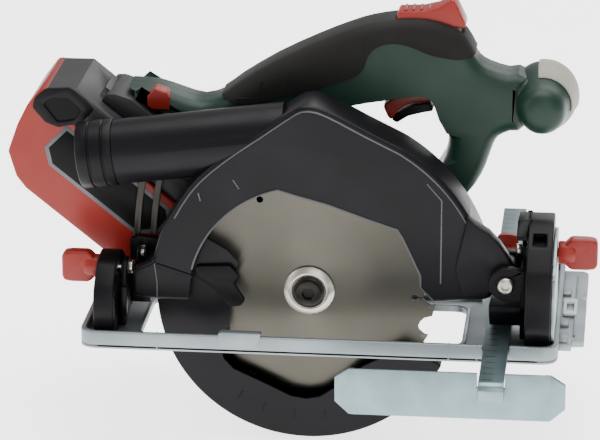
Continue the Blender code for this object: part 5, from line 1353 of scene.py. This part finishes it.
    def barrel(self) -> None:
        """The front barrel handle, its swollen ends and its grey cap."""
        side: Loop = [(0, -38), (6, -37.7), (10.5, -36.2), (13.6, -33.2), (15.3, -28.5), (16.0, -24), (17.0, -19)]
        side += [(18.8, -13), (20.6, -6), (21.7, 1), (22, 8), (21.4, 15), (19.6, 22), (17.4, 28), (14.6, 33)]
        side += [(10.5, 36.4), (6, 37.7), (0, 38)]
        line = curve_through(side, 3)
        centre = (self.knob[0], HANDLE_SIDE, self.knob[1])
        dress(turned("front_knob_finished", line, centre), GREEN_NYLON, "saw_unit", ["front_knob"], crisp=50.0)
        dress(self.cap(line), GREY_RUBBER, "saw_unit", ["knob_cap"])
        neck = centred("knob_neck", [(118, 158.5), (146, 156.5), (146, 128), (118, 124)], 18.4, 7.5, 5)
        dress(neck, GREEN_NYLON, "saw_unit")

    def cap(self, line: Loop) -> Item:
        """The grey skin over the barrel's top and front, made from the barrel's own profile.

        Args:
            line: The barrel's (radius, distance) profile.

        Returns:
            The closed skin.
        """
        skin = [(r + 1.1, h) for r, h in line if -17 < h < 26]
        under = [(r + 0.05, h) for r, h in reversed(line) if -17 < h < 26]
        shape = bmesh.new()
        middle = Vector((self.knob[0], HANDLE_SIDE + BLADE_PLANE, self.knob[1])) * MM
        first = Vector((math.cos(math.radians(-12)), 0, math.sin(math.radians(-12))))
        side = Vector((0, 1, 0))
        verts = [shape.verts.new(middle + (first * r + side * h) * MM) for r, h in skin + under]
        section = shape.faces.new(verts)
        bmesh.ops.spin(
            shape, geom=[section, *section.edges, *section.verts], cent=middle, axis=(0, -1, 0),
            dvec=(0, 0, 0), angle=math.radians(112), steps=28, use_merge=False, use_normal_flip=False,
            use_duplicate=False,
        )
        face_outwards(shape)
        item = to_object(shape, "knob_cap_finished")
        return tidy(item, 0.45, 2, 50.0)

    def controls(self) -> None:
        """Trigger, thumb lock and release button, and the pieces inside the grip."""
        loop: Loop = [(42.5, 135), (50, 141), (60, 144.5), (76, 146), (76.5, 141), (72, 138.5), (61, 137)]
        loop += [(53, 132), (47.5, 125.5)]
        trigger = centred("trigger_finished", curve_through(loop + loop[:1], 3)[:-1], 7.8, 1.6, 3)
        dress(trigger, DARK_RED, "trigger_group", ["trigger"])
        lip: Loop = [(48, 125.5), (54, 131), (62, 135.5), (73, 137.5), (75.5, 132), (68, 130.5), (59, 128)]
        lip.append((51.5, 123))
        dress(centred("trigger_lip", rounded(lip, 1.5, 3), 6.5, 1.2), BLACK_NYLON, "trigger_group")
        lock: Loop = [(51.4, 190.5), (51.4, 198.2), (53, 199.2), (68, 200), (78, 202.5), (87.3, 208.3)]
        lock += [(88.3, 207.6), (95.6, 193.0), (96.2, 189.6)]
        dress(centred("thumb_lock_finished", lock, 10.0, 1.1, 3), RED_ABS, "thumb_lock_group", ["thumb_lock"])
        for index in range(4):
            x, top = 56.0 + index * 5.0, 200.6 + index * 0.25
            ridge = centred(f"lock_ridge_{index}", rectangle((x, 198.0), (x + 1.6, top)), 7.0, 0.4)
            dress(ridge, RED_ABS, "thumb_lock_group")
        carry_over("battery_button", RED_ABS, "battery_release", 0.5, 3)
        carry_over("switch_module", BLACK_NYLON, "saw_unit", 0.2, 1)
        carry_over("control_board", CIRCUIT, "saw_unit", 0.1, 1)


@dataclass
class Drive:
    """Gear case, motor and their covers."""

    def build(self) -> None:
        """Dress the drive from softened CAD shapes."""
        looks = {
            "gear_case": (CASE_CASTING, 0.6), "motor_housing": (GREEN_NYLON, 0.5), "motor_cap": (BLACK_NYLON, 0.5),
            "stator": (WINDINGS, 0.4), "rotor_bearing": (BRIGHT_STEEL, 0.2), "spindle_bearing": (BRIGHT_STEEL, 0.2),
            "depth_bolt": (BRIGHT_STEEL, 0.2),
        }
        for node, (finish, edge) in looks.items():
            dress(softened_copy(node, edge), finish, "saw_unit", [node])
        carry_over("depth_lever", BLACK_NYLON, "depth_clamp", 0.3)
        carry_over("spindle_lock_button", BLACK_NYLON, "spindle_lock", 0.2)


@dataclass
class Battery:
    """The slide-on pack and its seat on the tool."""

    width: float = 76.0

    def build(self) -> None:
        """Make and dress the pack."""
        low, high = HANDLE_SIDE - self.width / 2, HANDLE_SIDE + self.width / 2
        carry_over("battery_seat", GREY_NYLON, "saw_unit", 0.6, 2)
        carry_over("battery_contacts", CONTACTS, "saw_unit", 0.15, 1)
        carry_over("battery_case", GREY_NYLON, "battery", 0.0)
        shell: Loop = [(-232, -12), (-232.5, 3), (-229.4, 6), (-225.5, 6), (-225.5, -0.3), (-108, -0.3)]
        shell += [(-108, -49), (-116, -57), (-198, -57), (-208, -54.5), (-222.5, -44.5), (-229, -26)]
        item = plate("battery_shell_finished", [pack_loop(shell)], low, high, Across.SIDE, 1.6, 3)
        dress(item, RED_ABS, "battery", ["battery_shell"])
        carry_over("cell_block", CELL_WRAP, "battery", 0.0)
        self.recess(low)
        label = pack_loop([(-204, -5), (-118, -5), (-112, -10), (-112, -22), (-124, -34), (-196, -34), (-206, -26)])
        dress(plate("label_border", [label], low - 0.35, low + 1.0, Across.SIDE, 0.3), LABEL_GREY, "battery")
        face: Loop = [(-201.5, -7.5), (-119, -7.5), (-114.5, -11.5), (-114.5, -21), (-125, -31.5)]
        face = pack_loop(face + [(-195, -31.5), (-203.5, -24.5)])
        dress(plate("label_face", [face], low - 0.6, low + 1.0, Across.SIDE, 0.2), LABEL_BLACK_AND_PAINTED_SHADE, "battery")

    def recess(self, low: float) -> None:
        """The black finger recess at the pack's rear end: a frame and a sunken floor.

        Args:
            low: Side of the pack's near face.
        """
        rim = [(-231.5, -3.5), (-229.5, 6.5), (-217.5, 17.5), (-211.0, 17.8), (-197.0, 15.5), (-197.5, 1.0)]
        rim += [(-202.6, -3.0), (-207.0, -9.0), (-216.0, -12.0), (-228.5, -9.5)]
        floor = [(-224.5, -3.0), (-223.0, 4.0), (-214.5, 11.0), (-203.0, 10.5), (-202.5, 2.0), (-210.0, -6.5)]
        frame_loop = rounded(pack_loop(rim), 1.5, 3)
        loops = [frame_loop, rounded(pack_loop(floor), 1.5, 3)]
        piece = plate("finger_recess_rim", loops, low - 1.6, low + 0.6, Across.SIDE, 0.6)
        dress(piece, BLACK_NYLON, "battery")
        # The floor is black plastic, given the label's darker black as painted shade in the hollow.
        dress(plate("finger_recess_floor", [frame_loop], low - 0.3, low + 0.5), LABEL_BLACK_AND_PAINTED_SHADE, "battery")


def main() -> None:
    """Build every sub-assembly in order."""
    logging.basicConfig(level=logging.INFO, format="%(name)s: %(message)s")
    for part in (BasePlate(), ParallelGuide(), TiltFrame(), UpperGuard(), LowerGuard(), BladeGroup(),
                 Handle(), Drive(), Battery(), Studio()):
        part.build()
        LOG.info("%s built", type(part).__name__)


if __name__ == "__main__":
    main()
